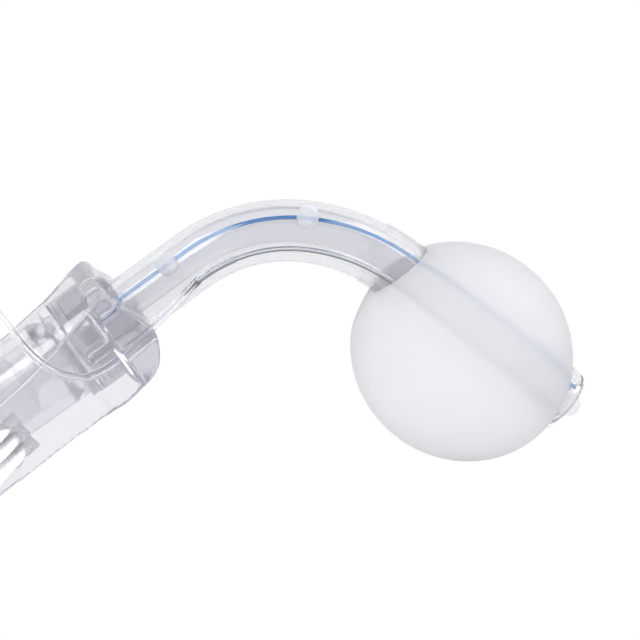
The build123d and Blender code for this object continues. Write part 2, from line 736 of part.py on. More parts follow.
def make_seal():
    start = plunger_seal_start()
    ring = neck_tube(CHAMBER_R - SEAL_CLEARANCE, start, start + SEAL_THICKNESS)
    ring -= neck_tube(PLUNGER_STEM_R, start, start + SEAL_THICKNESS)
    return valve_place() * ring


def make_spring():
    """A closed-end coil spring between the stub's disc and the plunger's head."""
    start = VALVE_SPIGOT + STUB_DISC + SPRING_WIRE_R
    end = plunger_seal_start() - PLUNGER_HEAD - SPRING_WIRE_R
    length = end - start
    coil = Helix(pitch=length / SPRING_TURNS, height=length, radius=SPRING_R)
    wire = sweep(Plane(origin=coil @ 0, z_dir=coil % 0) * Circle(SPRING_WIRE_R), path=coil)
    return valve_place() * Pos(start, 0, 0) * Rot(0, 90, 0) * wire


# The line itself
def cord_radii(points):
    """The largest arc that each corner's two runs allow."""
    radii = []
    for before, here, after in zip(points, points[1:], points[2:]):
        into = here - before
        out = after - here
        half_turn = radians(into.get_angle(out)) / 2
        radii.append(0.45 * min(into.length, out.length) / tan(half_turn))
    return radii


def line_route():
    """Corners of the line's route from the port to the coil."""
    by_hub = [HUB * Pos(*point) for point in ROUTE_BY_HUB]
    start = HUB * Pos(port_point())
    points = [start.position] + [spot.position for spot in by_hub]
    points += [Vector(x, y, z + TABLE) for x, y, z in ROUTE_TO_TABLE]
    return points + [coil_middle() + Vector(0, COIL_MEAN_R, 0)]


def cord_tube(name, points):
    """A tube of straight runs and the largest arcs they allow."""
    radii = cord_radii(points)
    path = FilletPolyline(*points, radius=radii)
    tube = sweep(Plane(origin=path @ 0, z_dir=path % 0) * Circle(LINE_R), path=path.wire())
    print(name, "length", round(path.length, 1), "radii", [round(radius, 1) for radius in radii])
    print(name, "volume", round(tube.volume, 2), "section times length", round(pi * LINE_R**2 * path.length, 2))
    return tube


def build_fixed():
    """Everything but what lies along or on the end of the line."""
    stripe = make_stripe()
    for station in BEAD_STATIONS.values():
        stripe -= bead_stem(station, BEAD_STEM_R)
    pieces = {
        "outer_tube": make_tube(stripe),
        "radiopaque_line": stripe,
        "line_insert": make_insert(),
        "lumen_plug": make_lumen_plug(),
        "cuff": make_cuff(),
        "neck_flange": make_flange(),
        "connector_15mm": make_connector(),
        "obturator": make_obturator(),
        "neck_tape": make_neck_tape(),
    }
    for name, station in BEAD_STATIONS.items():
        pieces[name] = make_bead(station)
    return pieces


def build_line():
    return {
        "inflation_line": cord_tube("line", line_route()) - make_coil(),
        "line_coil": make_coil(),
        "coil_tie": make_coil_tie(),
        "line_tail": make_tail(),
        "balloon_sleeve": make_sleeve(),
        "pilot_balloon": make_balloon(),
        "valve_stub": make_valve_stub(),
        "valve_housing": make_valve_housing(),
        "valve_plunger": make_plunger(),
        "valve_seal": make_seal(),
        "valve_spring": make_spring(),
    }


fixed = build_fixed()
# the origin is on the table, under the middle of everything but the line and its fittings
boxes = [shape.bounding_box() for shape in fixed.values()]
middle = (min(box.min.X for box in boxes) + max(box.max.X for box in boxes)) / 2
place = Pos(-middle, 0, -TABLE)
for name, shape in (fixed | build_line()).items():
    moved = place * shape
    print(name, type(moved).__name__, len(moved.solids()), "solids, volume", round(moved.volume, 2))
    export_step(moved, f"parts/{name}.step")
print("hub face at", place * Pos(0, 0, 0))
print("valve axis at", place * valve_place())
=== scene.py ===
"""Dresses a clear tracheostomy tube: cuffed airway tube, winged neck flange, connector, line and tape.

Sizes are in millimetres in the classes and are turned into metres where a mesh is made.
"""
import logging
import math
from dataclasses import dataclass
from enum import Enum
from typing import Callable, Sequence

import bmesh
import bpy
import numpy as np
from mathutils import Matrix, Vector


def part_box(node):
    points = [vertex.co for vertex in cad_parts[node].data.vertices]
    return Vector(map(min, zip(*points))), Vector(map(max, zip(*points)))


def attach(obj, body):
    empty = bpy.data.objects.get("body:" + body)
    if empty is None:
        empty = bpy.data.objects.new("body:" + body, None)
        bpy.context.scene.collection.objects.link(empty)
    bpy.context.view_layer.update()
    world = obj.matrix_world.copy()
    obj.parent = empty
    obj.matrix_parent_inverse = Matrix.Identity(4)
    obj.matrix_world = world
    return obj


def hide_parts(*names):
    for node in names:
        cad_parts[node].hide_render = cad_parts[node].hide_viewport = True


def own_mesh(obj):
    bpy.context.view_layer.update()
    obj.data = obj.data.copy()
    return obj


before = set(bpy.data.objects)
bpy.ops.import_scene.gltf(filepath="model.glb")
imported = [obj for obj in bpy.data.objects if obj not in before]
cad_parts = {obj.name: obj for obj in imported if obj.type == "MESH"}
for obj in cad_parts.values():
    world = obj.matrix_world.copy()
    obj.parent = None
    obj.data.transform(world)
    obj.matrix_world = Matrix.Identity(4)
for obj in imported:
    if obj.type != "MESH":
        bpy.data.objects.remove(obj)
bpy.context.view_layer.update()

MM = 0.001
TUBE_BOX = [list(corner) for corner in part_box("outer_tube")]
LOG = logging.getLogger("tracheostomy_tube")
Point = tuple[float, float, float]


# Frames that the pieces are placed in

@dataclass(frozen=True)
class HubFrame:
    """The hub's own frame: X along the tube, Y across the flange, Z up through the hub."""

    pitch: float = 35.0
    tube_back: float = 7.0
    tube_radius: float = 5.25

    def origin(self) -> np.ndarray:
        """Find the hub face from the tube's packed box.

        Returns:
            The hub face's centre in millimetres.
        """
        angle = math.radians(self.pitch)
        back = self.tube_back * math.cos(angle) + self.tube_radius * math.sin(angle)
        return np.array([TUBE_BOX[0][0] / MM + back, 0.0, HUB_HEIGHT])

    def to_row(self, points: np.ndarray) -> np.ndarray:
        """Turn points of the hub's frame into the row frame.

        Args:
            points: Rows of x, y and z in millimetres.

        Returns:
            The same rows in the row frame, in millimetres.
        """
        points = np.atleast_2d(np.asarray(points, float))
        angle = math.radians(self.pitch)
        turned = np.column_stack([
            points[:, 0] * math.cos(angle) - points[:, 2] * math.sin(angle),
            points[:, 1],
            points[:, 0] * math.sin(angle) + points[:, 2] * math.cos(angle),
        ])
        return turned + self.origin()

    def to_hub(self, points: np.ndarray) -> np.ndarray:
        """Turn points of the row frame into the hub's frame.

        Args:
            points: Rows of x, y and z in millimetres.

        Returns:
            The same rows in the hub's frame, in millimetres.
        """
        moved = np.atleast_2d(np.asarray(points, float)) - self.origin()
        angle = math.radians(self.pitch)
        return np.column_stack([
            moved[:, 0] * math.cos(angle) + moved[:, 2] * math.sin(angle),
            moved[:, 1],
            -moved[:, 0] * math.sin(angle) + moved[:, 2] * math.cos(angle),
        ])


HUB_HEIGHT = 27.2042
HUB = HubFrame()


@dataclass(frozen=True)
class CentreLine:
    """The tube's centre line: straight, two bends and straight again."""

    hub_run: float = 15.6
    first_radius: float = 26.6
    first_turn: float = 43.5
    second_radius: float = 34.7
    second_turn: float = 31.5
    tip_run: float = 36.8

    @property
    def neck(self) -> float:
        """Station where the last straight begins."""
        return self.hub_run + self.first_arc + self.second_arc

    @property
    def first_arc(self) -> float:
        """Length of the first bend."""
        return self.first_radius * math.radians(self.first_turn)

    @property
    def second_arc(self) -> float:
        """Length of the second bend."""
        return self.second_radius * math.radians(self.second_turn)

    @property
    def tip(self) -> float:
        """Station of the tube's end."""
        return self.neck + self.tip_run

    def frames(self, stations: np.ndarray) -> tuple[np.ndarray, np.ndarray, np.ndarray]:
        """Find the line's points, directions and upward normals.

        Args:
            stations: Distances along the line from the hub face, in millimetres.

        Returns:
            Points, unit directions and unit normals, one row for each station.
        """
        base = HUB.origin()
        points, along, up = [], [], []
        for station in np.atleast_1d(stations):
            pitch = math.radians(HUB.pitch)
            x = z = 0.0
            left = min(station, self.hub_run)
            x += left * math.cos(pitch)
            z += left * math.sin(pitch)
            rest = station - self.hub_run
            for radius, arc in ((self.first_radius, self.first_arc), (self.second_radius, self.second_arc)):
                run = min(max(rest, 0.0), arc)
                turned = pitch - run / radius
                x += radius * (math.sin(pitch) - math.sin(turned))
                z += radius * (math.cos(turned) - math.cos(pitch))
                pitch = turned
                rest -= arc
            if rest > 0:
                x += rest * math.cos(pitch)
                z += rest * math.sin(pitch)
            points.append(base + (x, 0, z))
            along.append((math.cos(pitch), 0, math.sin(pitch)))
            up.append((-math.sin(pitch), 0, math.cos(pitch)))
        return np.array(points), np.array(along), np.array(up)

    def ring(self, station: float, radius: float, count: int, rho: float = 0.0, clock: float = 0.0) -> np.ndarray:
        """Make a ring across the line.

        Args:
            station: Where on the line.
            radius: The ring's radius.
            count: How many points it has.
            rho: How far its middle is from the line.
            clock: Its middle's angle above the near side, in degrees.

        Returns:
            The ring's points in the row frame, in millimetres.
        """
        point, _, up = (rows[0] for rows in self.frames(np.array([station])))
        across = np.array([0.0, 1.0, 0.0])
        clock = math.radians(clock)
        middle = point - across * rho * math.cos(clock) + up * rho * math.sin(clock)
        turn = np.linspace(0, 2 * math.pi, count, endpoint=False)
        return middle + radius * (np.outer(np.cos(turn), across) + np.outer(np.sin(turn), up))

    def direction(self, station: float, clock: float) -> tuple[np.ndarray, np.ndarray]:
        """Find a point on the line and the way out of it at an angle above the near side.

        Args:
            station: Where on the line.
            clock: The angle, in degrees.

        Returns:
            The point in millimetres and the unit direction.
        """
        point, _, up = (rows[0] for rows in self.frames(np.array([station])))
        clock = math.radians(clock)
        return point, -np.array([0.0, 1.0, 0.0]) * math.cos(clock) + up * math.sin(clock)


LINE = CentreLine()


# Finishes

class ShaderSheet:
    """A node tree with short calls for making and joining nodes."""

    def __init__(self, name: str) -> None:
        """Make an empty material.

        Args:
            name: The material's name.
        """
        self.material = bpy.data.materials.new("look_" + name)
        self.material.use_nodes = True
        self.tree = self.material.node_tree
        self.tree.nodes.clear()
        self.output = self.tree.nodes.new("ShaderNodeOutputMaterial")

    def node(self, kind: str, **values: object) -> bpy.types.Node:
        """Make a node and set its sockets and settings.

        Args:
            kind: The node's type.
            values: Settings by attribute name, or sockets by name with spaces as underscores.

        Returns:
            The new node.
        """
        node = self.tree.nodes.new(kind)
        for key, value in values.items():
            socket = node.inputs.get(key.replace("_", " "))
            if hasattr(node, key) and key not in {"inputs", "outputs"}:
                setattr(node, key, value)
            elif socket is not None:
                socket.default_value = value
        return node

    def join(self, source: bpy.types.NodeSocket, target: bpy.types.NodeSocket) -> None:
        """Link two sockets."""
        self.tree.links.new(source, target)

    def surface(self, node: bpy.types.Node) -> None:
        """Show a shader node as the material's surface."""
        self.join(node.outputs[0], self.output.inputs["Surface"])

    def bump(self, height: bpy.types.NodeSocket, shader: bpy.types.Node, strength: float, distance: float) -> None:
        """Bump a shader's normal.

        Args:
            height: The socket that gives the height.
            shader: The node whose normal is bumped.
            strength: How strong the bump is, from 0 to 1.
            distance: How high it is, in metres.
        """
        bump = self.node("ShaderNodeBump", Strength=strength, Distance=distance)
        self.join(height, bump.inputs["Height"])
        self.join(bump.outputs["Normal"], shader.inputs["Normal"])


Colour = tuple[float, float, float]


@dataclass(frozen=True)
class ClearVinyl:
    """Clear soft vinyl, with a tint that deepens with thickness."""

    name: str
    tint: Colour
    depth_tint: Colour
    depth: float
    roughness: float = 0.02
    ior: float = 1.53
    ripple: float = 0.02
    haze: float = 0.0
    haze_tint: Colour = (0.8, 0.8, 0.84)

    def make(self) -> bpy.types.Material:
        """Build the material.

        Returns:
            A refracting material with an absorbing body.
        """
        sheet = ShaderSheet(self.name)
        glass = sheet.node("ShaderNodeBsdfPrincipled", Roughness=self.roughness, IOR=self.ior)
        glass.inputs["Base Color"].default_value = (*self.tint, 1)
        glass.inputs["Transmission Weight"].default_value = 1.0
        place = sheet.node("ShaderNodeTexCoord")
        flow = sheet.node("ShaderNodeTexNoise", Scale=160.0, Detail=1.0)
        sheet.join(place.outputs["Object"], flow.inputs["Vector"])
        sheet.bump(flow.outputs["Fac"], glass, self.ripple, 0.0006)
        cloud = sheet.node("ShaderNodeBsdfTranslucent")
        cloud.inputs["Color"].default_value = (*self.haze_tint, 1)
        matt = sheet.node("ShaderNodeBsdfDiffuse")
        matt.inputs["Color"].default_value = (*self.haze_tint, 1)
        skin = sheet.node("ShaderNodeMixShader")
        skin.inputs[0].default_value = 0.5
        sheet.join(cloud.outputs[0], skin.inputs[1])
        sheet.join(matt.outputs[0], skin.inputs[2])
        both = sheet.node("ShaderNodeMixShader")
        both.inputs[0].default_value = self.haze
        sheet.join(glass.outputs[0], both.inputs[1])
        sheet.join(skin.outputs[0], both.inputs[2])
        sheet.surface(both)
        if self.depth > 0:
            body = sheet.node("ShaderNodeVolumeAbsorption", Density=self.depth)
            body.inputs["Color"].default_value = (*self.depth_tint, 1)
            sheet.join(body.outputs[0], sheet.output.inputs["Volume"])
        return sheet.material


@dataclass(frozen=True)
class FrostedFilm:
    """Thin frosted film, which lets light and shapes through."""

    name: str = "frosted_film"
    milk: Colour = (0.86, 0.862, 0.868)
    clear_share: float = 0.32
    blur: float = 0.0

    def make(self) -> bpy.types.Material:
        """Build the material.

        Returns:
            A film that scatters part of the light and passes the rest.
        """
        sheet = ShaderSheet(self.name)
        scatter = sheet.node("ShaderNodeBsdfTranslucent")
        scatter.inputs["Color"].default_value = (*self.milk, 1)
        matt = sheet.node("ShaderNodeBsdfDiffuse", Roughness=0.6)
        matt.inputs["Color"].default_value = (*self.milk, 1)
        through = sheet.node("ShaderNodeBsdfTransparent")
        if self.blur > 0:
            through = sheet.node("ShaderNodeBsdfRefraction", Roughness=self.blur, IOR=1.3)
        gloss = sheet.node("ShaderNodeBsdfGlossy", Roughness=0.42)
        body = sheet.node("ShaderNodeMixShader")
        body.inputs[0].default_value = 0.45
        sheet.join(scatter.outputs[0], body.inputs[1])
        sheet.join(matt.outputs[0], body.inputs[2])
        film = sheet.node("ShaderNodeMixShader")
        film.inputs[0].default_value = self.clear_share
        sheet.join(body.outputs[0], film.inputs[1])
        sheet.join(through.outputs[0], film.inputs[2])
        facing = sheet.node("ShaderNodeLayerWeight", Blend=0.5)
        steep = sheet.node("ShaderNodeMath", operation="POWER")
        steep.inputs[1].default_value = 3.0
        sheet.join(facing.outputs["Facing"], steep.inputs[0])
        edge = sheet.node("ShaderNodeMath", operation="MULTIPLY")
        edge.inputs[1].default_value = 0.35
        sheet.join(steep.outputs[0], edge.inputs[0])
        skin = sheet.node("ShaderNodeMixShader")
        sheet.join(edge.outputs[0], skin.inputs[0])
        sheet.join(film.outputs[0], skin.inputs[1])
        sheet.join(gloss.outputs[0], skin.inputs[2])
        sheet.surface(skin)
        return sheet.material


@dataclass(frozen=True)
class Moulded:
    """Moulded plastic, resin or rubber, from clear-ish to solid."""

    name: str
    colour: Colour
    roughness: float = 0.3
    transmission: float = 0.0
    ior: float = 1.5
    subsurface: float = 0.0
    grain: float = 0.05
    metallic: float = 0.0

    def make(self) -> bpy.types.Material:
        """Build the material.

        Returns:
            A plastic with a fine moulding grain.
        """
        sheet = ShaderSheet(self.name)
        body = sheet.node("ShaderNodeBsdfPrincipled", Roughness=self.roughness, IOR=self.ior, Metallic=self.metallic)
        body.inputs["Base Color"].default_value = (*self.colour, 1)
        body.inputs["Transmission Weight"].default_value = self.transmission
        body.inputs["Subsurface Weight"].default_value = self.subsurface
        body.inputs["Subsurface Scale"].default_value = 0.002
        place = sheet.node("ShaderNodeTexCoord")
        grain = sheet.node("ShaderNodeTexNoise", Scale=900.0, Detail=2.0)
        sheet.join(place.outputs["Object"], grain.inputs["Vector"])
        sheet.bump(grain.outputs["Fac"], body, self.grain, 0.0002)
        sheet.surface(body)
        return sheet.material


@dataclass(frozen=True)
class WovenCotton:
    """White cotton tape in a plain weave."""

    name: str = "woven_cotton"
    colour: Colour = (0.86, 0.86, 0.87)
    yarn: float = 0.55

    def make(self) -> bpy.types.Material:
        """Build the material from the band's own lengthwise and crosswise attributes.

        Returns:
            A matt cloth with crossing yarns, with painted shade in the weave's low cells.
        """
        sheet = ShaderSheet(self.name)
        cloth = sheet.node("ShaderNodeBsdfPrincipled", Roughness=0.85)
        cloth.inputs["Sheen Weight"].default_value = 0.35
        cloth.inputs["Sheen Roughness"].default_value = 0.5
        waves = []
        for attribute in ("along_mm", "across_mm"):
            reading = sheet.node("ShaderNodeAttribute", attribute_name=attribute)
            turn = sheet.node("ShaderNodeMath", operation="MULTIPLY")
            turn.inputs[1].default_value = math.pi / self.yarn
            sheet.join(reading.outputs["Fac"], turn.inputs[0])
            wave = sheet.node("ShaderNodeMath", operation="SINE")
            sheet.join(turn.outputs[0], wave.inputs[0])
            waves.append(wave)
        weave = sheet.node("ShaderNodeMath", operation="MULTIPLY")
        sheet.join(waves[0].outputs[0], weave.inputs[0])
        sheet.join(waves[1].outputs[0], weave.inputs[1])
        ramp = sheet.node("ShaderNodeMapRange")
        ramp.inputs["From Min"].default_value = -1.0
        ramp.inputs["From Max"].default_value = 1.0
        sheet.join(weave.outputs[0], ramp.inputs["Value"])
        # Painted shade: the weave's low cells, where the bump sinks, are painted 10% darker.
        painted_weave_shade = sheet.node("ShaderNodeMix", data_type="RGBA")
        painted_weave_shade.inputs["A"].default_value = (*(0.9 * c for c in self.colour), 1)
        painted_weave_shade.inputs["B"].default_value = (*self.colour, 1)
        sheet.join(ramp.outputs[0], painted_weave_shade.inputs["Factor"])
        sheet.join(painted_weave_shade.outputs["Result"], cloth.inputs["Base Color"])
        sheet.bump(ramp.outputs[0], cloth, 0.7, 0.0002)
        sheet.surface(cloth)
        return sheet.material


class Finish(Enum):
    """The finishes that the pieces take, each made once."""

    TUBE = ClearVinyl("clear_tube_vinyl", (0.965, 0.967, 0.985), (0.6, 0.6, 0.68), 20.0, haze=0.07)
    COLLAR = FrostedFilm("clear_collar_film", (0.9, 0.9, 0.93), 0.86)
    FLANGE = ClearVinyl("clear_flange_vinyl", (0.95, 0.945, 0.97), (0.5, 0.47, 0.6), 18.0, haze=0.15,
                        haze_tint=(0.83, 0.82, 0.89))
    LINE_WALL = ClearVinyl("clear_line_vinyl", (0.97, 0.97, 0.98), (1, 1, 1), 0.0)
    CONNECTOR = ClearVinyl("clear_connector", (0.985, 0.985, 1.0), (0.7, 0.7, 0.9), 6.0, roughness=0.1, haze=0.12,
                           haze_tint=(0.95, 0.95, 0.98))
    POUCH = ClearVinyl("clear_pouch_film", (0.96, 0.97, 0.98), (1, 1, 1), 0.0)
    FILM = FrostedFilm(milk=(0.925, 0.928, 0.936), clear_share=0.4, blur=0.5)
    STRIPE = Moulded("blue_stripe", (0.05, 0.27, 0.62), 0.4)
    RESIN = FrostedFilm("frosted_resin", (0.93, 0.94, 0.97), 0.45)
    OBTURATOR = FrostedFilm("obturator_plastic", (0.9, 0.925, 0.96), 0.72)
    WHITE = Moulded("white_plastic", (0.86, 0.87, 0.89), 0.28, subsurface=0.1)
    BLUE = Moulded("blue_plastic", (0.08, 0.26, 0.62), 0.25)
    RUBBER = Moulded("valve_rubber", (0.05, 0.05, 0.055), 0.6)
    STEEL = Moulded("spring_steel", (0.6, 0.6, 0.62), 0.3, metallic=1.0)
    COTTON = WovenCotton()
    YARN = Moulded("cotton_yarn", (0.9, 0.9, 0.9), 0.85)

    def material(self) -> bpy.types.Material:
        """Give this finish's material, made at its first use.

        Returns:
            The shared material.
        """
        known = bpy.data.materials.get("look_" + self.value.name)
        return known or self.value.make()


# Mesh calls

def new_object(name: str, mesh: bpy.types.Mesh, finish: Finish) -> bpy.types.Object:
    """Show a mesh as an object with a finish.

    Args:
        name: The object's name.
        mesh: Its mesh, in the row frame and in metres.
        finish: What it is made of.

    Returns:
        The new object.
    """
    piece = bpy.data.objects.new(name, mesh)
    bpy.context.scene.collection.objects.link(piece)
    mesh.materials.clear()
    mesh.materials.append(finish.material())
    return piece


def loft(
    name: str,
    rings: Sequence[np.ndarray],
    closed: bool = False,
    caps: bool = False,
    inward: bool = False,
) -> bpy.types.Mesh:
    """Join rings of points into a skin.

    Args:
        name: The mesh's name.
        rings: Rings with the same number of points, in millimetres.
        closed: Whether the last ring joins the first.
        caps: Whether the ends are closed by a face.
        inward: Whether the skin faces into the rings.

    Returns:
        The mesh, in metres.
    """
    rings = np.array(rings, float) * MM
    count, size = rings.shape[:2]
    faces = []
    for i in range(count if closed else count - 1):
        j = (i + 1) % count
        for k in range(size):
            m = (k + 1) % size
            face = (i * size + k, i * size + m, j * size + m, j * size + k)
            faces.append(face[::-1] if inward else face)
    if caps and not closed:
        first = tuple(range(size))
        final = tuple((count - 1) * size + k for k in range(size))
        faces.append(first if inward else first[::-1])
        faces.append(final[::-1] if inward else final)
    mesh = bpy.data.meshes.new(name)
    mesh.from_pydata([tuple(v) for v in rings.reshape(-1, 3)], [], faces)
    mesh.update()
    return mesh


def smooth(mesh: bpy.types.Mesh, angle: float = 40.0) -> bpy.types.Mesh:
    """Shade a mesh smooth, with edges sharper than an angle kept sharp.

    Args:
        mesh: The mesh.
        angle: The angle, in degrees.

    Returns:
        The same mesh.
    """
    mesh.polygons.foreach_set("use_smooth", [True] * len(mesh.polygons))
    mesh.set_sharp_from_angle(angle=math.radians(angle))
    mesh.update()
    return mesh


def outward(mesh: bpy.types.Mesh) -> bpy.types.Mesh:
    """Turn all faces of a closed mesh outwards."""
    work = bmesh.new()
    work.from_mesh(mesh)
    bmesh.ops.recalc_face_normals(work, faces=work.faces)
    work.to_mesh(mesh)
    work.free()
    return mesh


def settle(piece: bpy.types.Object) -> bpy.types.Object:
    """Put an object's evaluated mesh in place of its mesh and modifiers.

    Args:
        piece: The object.

    Returns:
        The same object, with a plain mesh and no modifier.
    """
    graph = bpy.context.evaluated_depsgraph_get()
    mesh = bpy.data.meshes.new_from_object(piece.evaluated_get(graph), depsgraph=graph)
    piece.modifiers.clear()
    piece.data = mesh
    return piece


def turned(profile: Sequence[tuple[float, float]], count: int, place: Callable[[np.ndarray], np.ndarray]) -> list[np.ndarray]:
    """Turn a profile about the X axis.

    Args:
        profile: Pairs of a place along X and a radius.
        count: Points round the turn.
        place: What puts the rings in the row frame.

    Returns:
        One ring for each pair.
    """
    turn = np.linspace(0, 2 * math.pi, count, endpoint=False)
    rings = []
    for along, radius in profile:
        ring = np.column_stack([np.full(count, along), radius * np.cos(turn), radius * np.sin(turn)])
        rings.append(place(ring))
    return rings


def rounded(points: Sequence[tuple[float, float]], radius: float, steps: int = 5) -> list[tuple[float, float]]:
    """Round the corners of a closed outline.

    Args:
        points: The outline's corners.
        radius: The corner radius, less where a side is short.
        steps: How many parts each corner is cut into.

    Returns:
        The rounded outline.
    """
    out = []
    count = len(points)
    for i in range(count):
        before, here, after = (np.array(points[(i + d) % count], float) for d in (-1, 0, 1))
        into, away = before - here, after - here
        reach = min(radius, 0.45 * np.linalg.norm(into), 0.45 * np.linalg.norm(away))
        start = here + into / max(np.linalg.norm(into), 1e-9) * reach
        end = here + away / max(np.linalg.norm(away), 1e-9) * reach
        for k in range(steps + 1):
            t = k / steps
            out.append(tuple((1 - t) ** 2 * start + 2 * t * (1 - t) * here + t * t * end))
    return out


def stand_in(name: str, mesh: bpy.types.Mesh, finish: Finish, body: str, nodes: Sequence[str]) -> bpy.types.Object:
    """Put a piece in place of nodes, on its body.

    Args:
        name: The piece's name.
        mesh: Its mesh.
        finish: What it is made of.
        body: The body that it moves with.
        nodes: The nodes that it stands for.

    Returns:
        The piece.
    """
    piece = new_object(name, mesh, finish)
    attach(piece, body)
    if nodes:
        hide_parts(*nodes)
    LOG.info("%s: %d faces, stands for %s", name, len(mesh.polygons), ", ".join(nodes) or "nothing")
    return piece


TUBE_BODY = "tube"
PLUNGER_BODY = "plunger"


# The airway tube

@dataclass
class AirwayTube:
    """The curved tube with its wall channel, its port and its blue stripe."""

    bore: float = 3.75
    radius: float = 5.25
    back: float = 7.0
    tip_round: float = 1.0
    lumen_radius: float = 0.45
    lumen_rho: float = 4.5
    lumen_clock: float = -28.0
    lumen_seal: float = 2.0
    insert_radius: float = 0.6
    insert_bore: float = 0.3
    insert_length: float = 8.2
    port_station: float = 14.2
    port_angle: float = 25.0
    port_radius: float = 0.85
    port_length: float = 8.0
    cuff_port_station: float = 72.0
    cuff_port_radius: float = 0.9
    stripe_width: float = 0.7
    stripe_depth: float = 0.35
    stripe_cover: float = 0.25
    stripe_clock: float = 38.0
    stripe_margin: float = 1.5
    sides: int = 96

    def outline(self) -> list[tuple[float, float]]:
        """Pairs of a station and a radius, out along the outside and back along the bore."""
        ahead = list(np.arange(-self.back, LINE.tip - self.tip_round, 0.7)) + [LINE.tip - self.tip_round]
        outline = [(s, self.radius) for s in ahead]
        for k in range(1, 9):
            turn = math.radians(k * 90 / 8)
            outline.append((
                LINE.tip - self.tip_round * (1 - math.sin(turn)),
                self.radius - self.tip_round * (1 - math.cos(turn)),
            ))
        outline.append((LINE.tip, self.bore + 0.12))
        outline.append((LINE.tip - 0.12, self.bore))
        outline += [(s, self.bore) for s in reversed(ahead) if s < LINE.tip - self.tip_round]
        return outline

    def port_cutter(self) -> bpy.types.Mesh:
        """A cylinder along the line's way out of the wall.

        Returns:
            The cutter's mesh.
        """
        clock = math.radians(self.lumen_clock)
        start = np.array([self.port_station, -self.lumen_rho * math.cos(clock), self.lumen_rho * math.sin(clock)])
        angle = math.radians(self.port_angle)
        way = np.array([-math.cos(angle), -math.sin(angle) * math.cos(clock), math.sin(angle) * math.sin(clock)])
        side = np.cross(way, (0, 0, 1))
        side /= np.linalg.norm(side)
        other = np.cross(way, side)
        turn = np.linspace(0, 2 * math.pi, 32, endpoint=False)
        ring = self.port_radius * (np.outer(np.cos(turn), side) + np.outer(np.sin(turn), other))
        rings = [HUB.to_row(start + way * s + ring) for s in (-0.4, self.port_length)]
        return loft("port_cutter", rings, caps=True)

    def channel_cutter(self) -> bpy.types.Mesh:
        """The wall channel: wide where the line's end sits, narrow beyond it.

        Returns:
            The cutter's mesh.
        """
        step = self.port_station + self.insert_length
        end = LINE.tip - self.tip_round - self.lumen_seal
        rings = [
            LINE.ring(s, self.insert_radius, 20, self.lumen_rho, self.lumen_clock)
            for s in np.linspace(self.port_station, step, 12)
        ]
        rings += [
            LINE.ring(s, self.lumen_radius, 20, self.lumen_rho, self.lumen_clock)
            for s in np.linspace(step + 0.05, end, 110)
        ]
        return loft("channel_cutter", rings, caps=True)

    def cuff_port_cutter(self) -> bpy.types.Mesh:
        """A short cylinder from the channel out into the cuff.

        Returns:
            The cutter's mesh.
        """
        point, way = LINE.direction(self.cuff_port_station, self.lumen_clock)
        side = np.cross(way, (1, 0, 0))
        side /= np.linalg.norm(side)
        other = np.cross(way, side)
        turn = np.linspace(0, 2 * math.pi, 32, endpoint=False)
        ring = self.cuff_port_radius * (np.outer(np.cos(turn), side) + np.outer(np.sin(turn), other))
        rings = [point + way * s + ring for s in (self.lumen_rho, self.radius + 0.6)]
        return loft("cuff_port_cutter", rings, caps=True)

    def build(self) -> list[bpy.types.Object]:
        """Build the tube and what is set in its wall.

        Returns:
            The pieces.
        """
        rings = [LINE.ring(s, r, self.sides) for s, r in self.outline()]
        wall = new_object("airway_tube_wall", outward(loft("airway_tube_wall", rings, closed=True)), Finish.TUBE)
        cutters = []
        for mesh in (self.channel_cutter(), self.port_cutter(), self.cuff_port_cutter()):
            cutter = bpy.data.objects.new(mesh.name, outward(mesh))
            bpy.context.scene.collection.objects.link(cutter)
            cut = wall.modifiers.new(mesh.name, "BOOLEAN")
            cut.operation = "DIFFERENCE"
            cut.solver = "EXACT"
            cut.object = cutter
            cutters.append(cutter)
        settle(wall)
        for cutter in cutters:
            bpy.data.objects.remove(cutter)
        smooth(wall.data, 35)
        wall.data.materials.clear()
        wall.data.materials.append(Finish.TUBE.material())
        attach(wall, TUBE_BODY)
        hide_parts("outer_tube")
        LOG.info("airway_tube_wall: %d faces", len(wall.data.polygons))
        return [wall, self.build_stripe(), self.build_insert()]

    def build_stripe(self) -> bpy.types.Object:
        """Build the blue stripe inside the wall.

        Returns:
            The stripe.
        """
        rho = self.radius - self.stripe_cover - self.stripe_depth / 2
        clock = math.radians(self.stripe_clock)
        rings = []
        first, final = -self.back + self.stripe_margin, LINE.tip - self.stripe_margin
        for station in np.linspace(first, final, 150):
            point, out = LINE.direction(station, self.stripe_clock)
            _, _, up = (rows[0] for rows in LINE.frames(np.array([station])))
            side = np.array([0.0, 1.0, 0.0]) * math.sin(clock) + up * math.cos(clock)
            middle = point + out * rho
            turn = np.linspace(0, 2 * math.pi, 16, endpoint=False)
            ring = np.outer(np.cos(turn) * self.stripe_width / 2, side)
            ring += np.outer(np.sin(turn) * self.stripe_depth / 2, out)
            rings.append(middle + ring)
        mesh = smooth(outward(loft("blue_stripe", rings, caps=True)))
        return stand_in("blue_stripe", mesh, Finish.STRIPE, TUBE_BODY, ["radiopaque_line"])

    def build_insert(self) -> bpy.types.Object:
        """Build the end of the line that sits in the channel.

        Returns:
            The insert.
        """
        stations = np.linspace(self.port_station + 0.1, self.port_station + self.insert_length - 0.05, 14)
        outer = self.insert_radius - 0.03
        rings = [LINE.ring(s, outer, 20, self.lumen_rho, self.lumen_clock) for s in stations]
        rings += [LINE.ring(s, self.insert_bore, 20, self.lumen_rho, self.lumen_clock) for s in stations[::-1]]
        mesh = smooth(outward(loft("line_end_insert", rings, closed=True)))
        return stand_in("line_end_insert", mesh, Finish.LINE_WALL, TUBE_BODY, ["line_insert"])


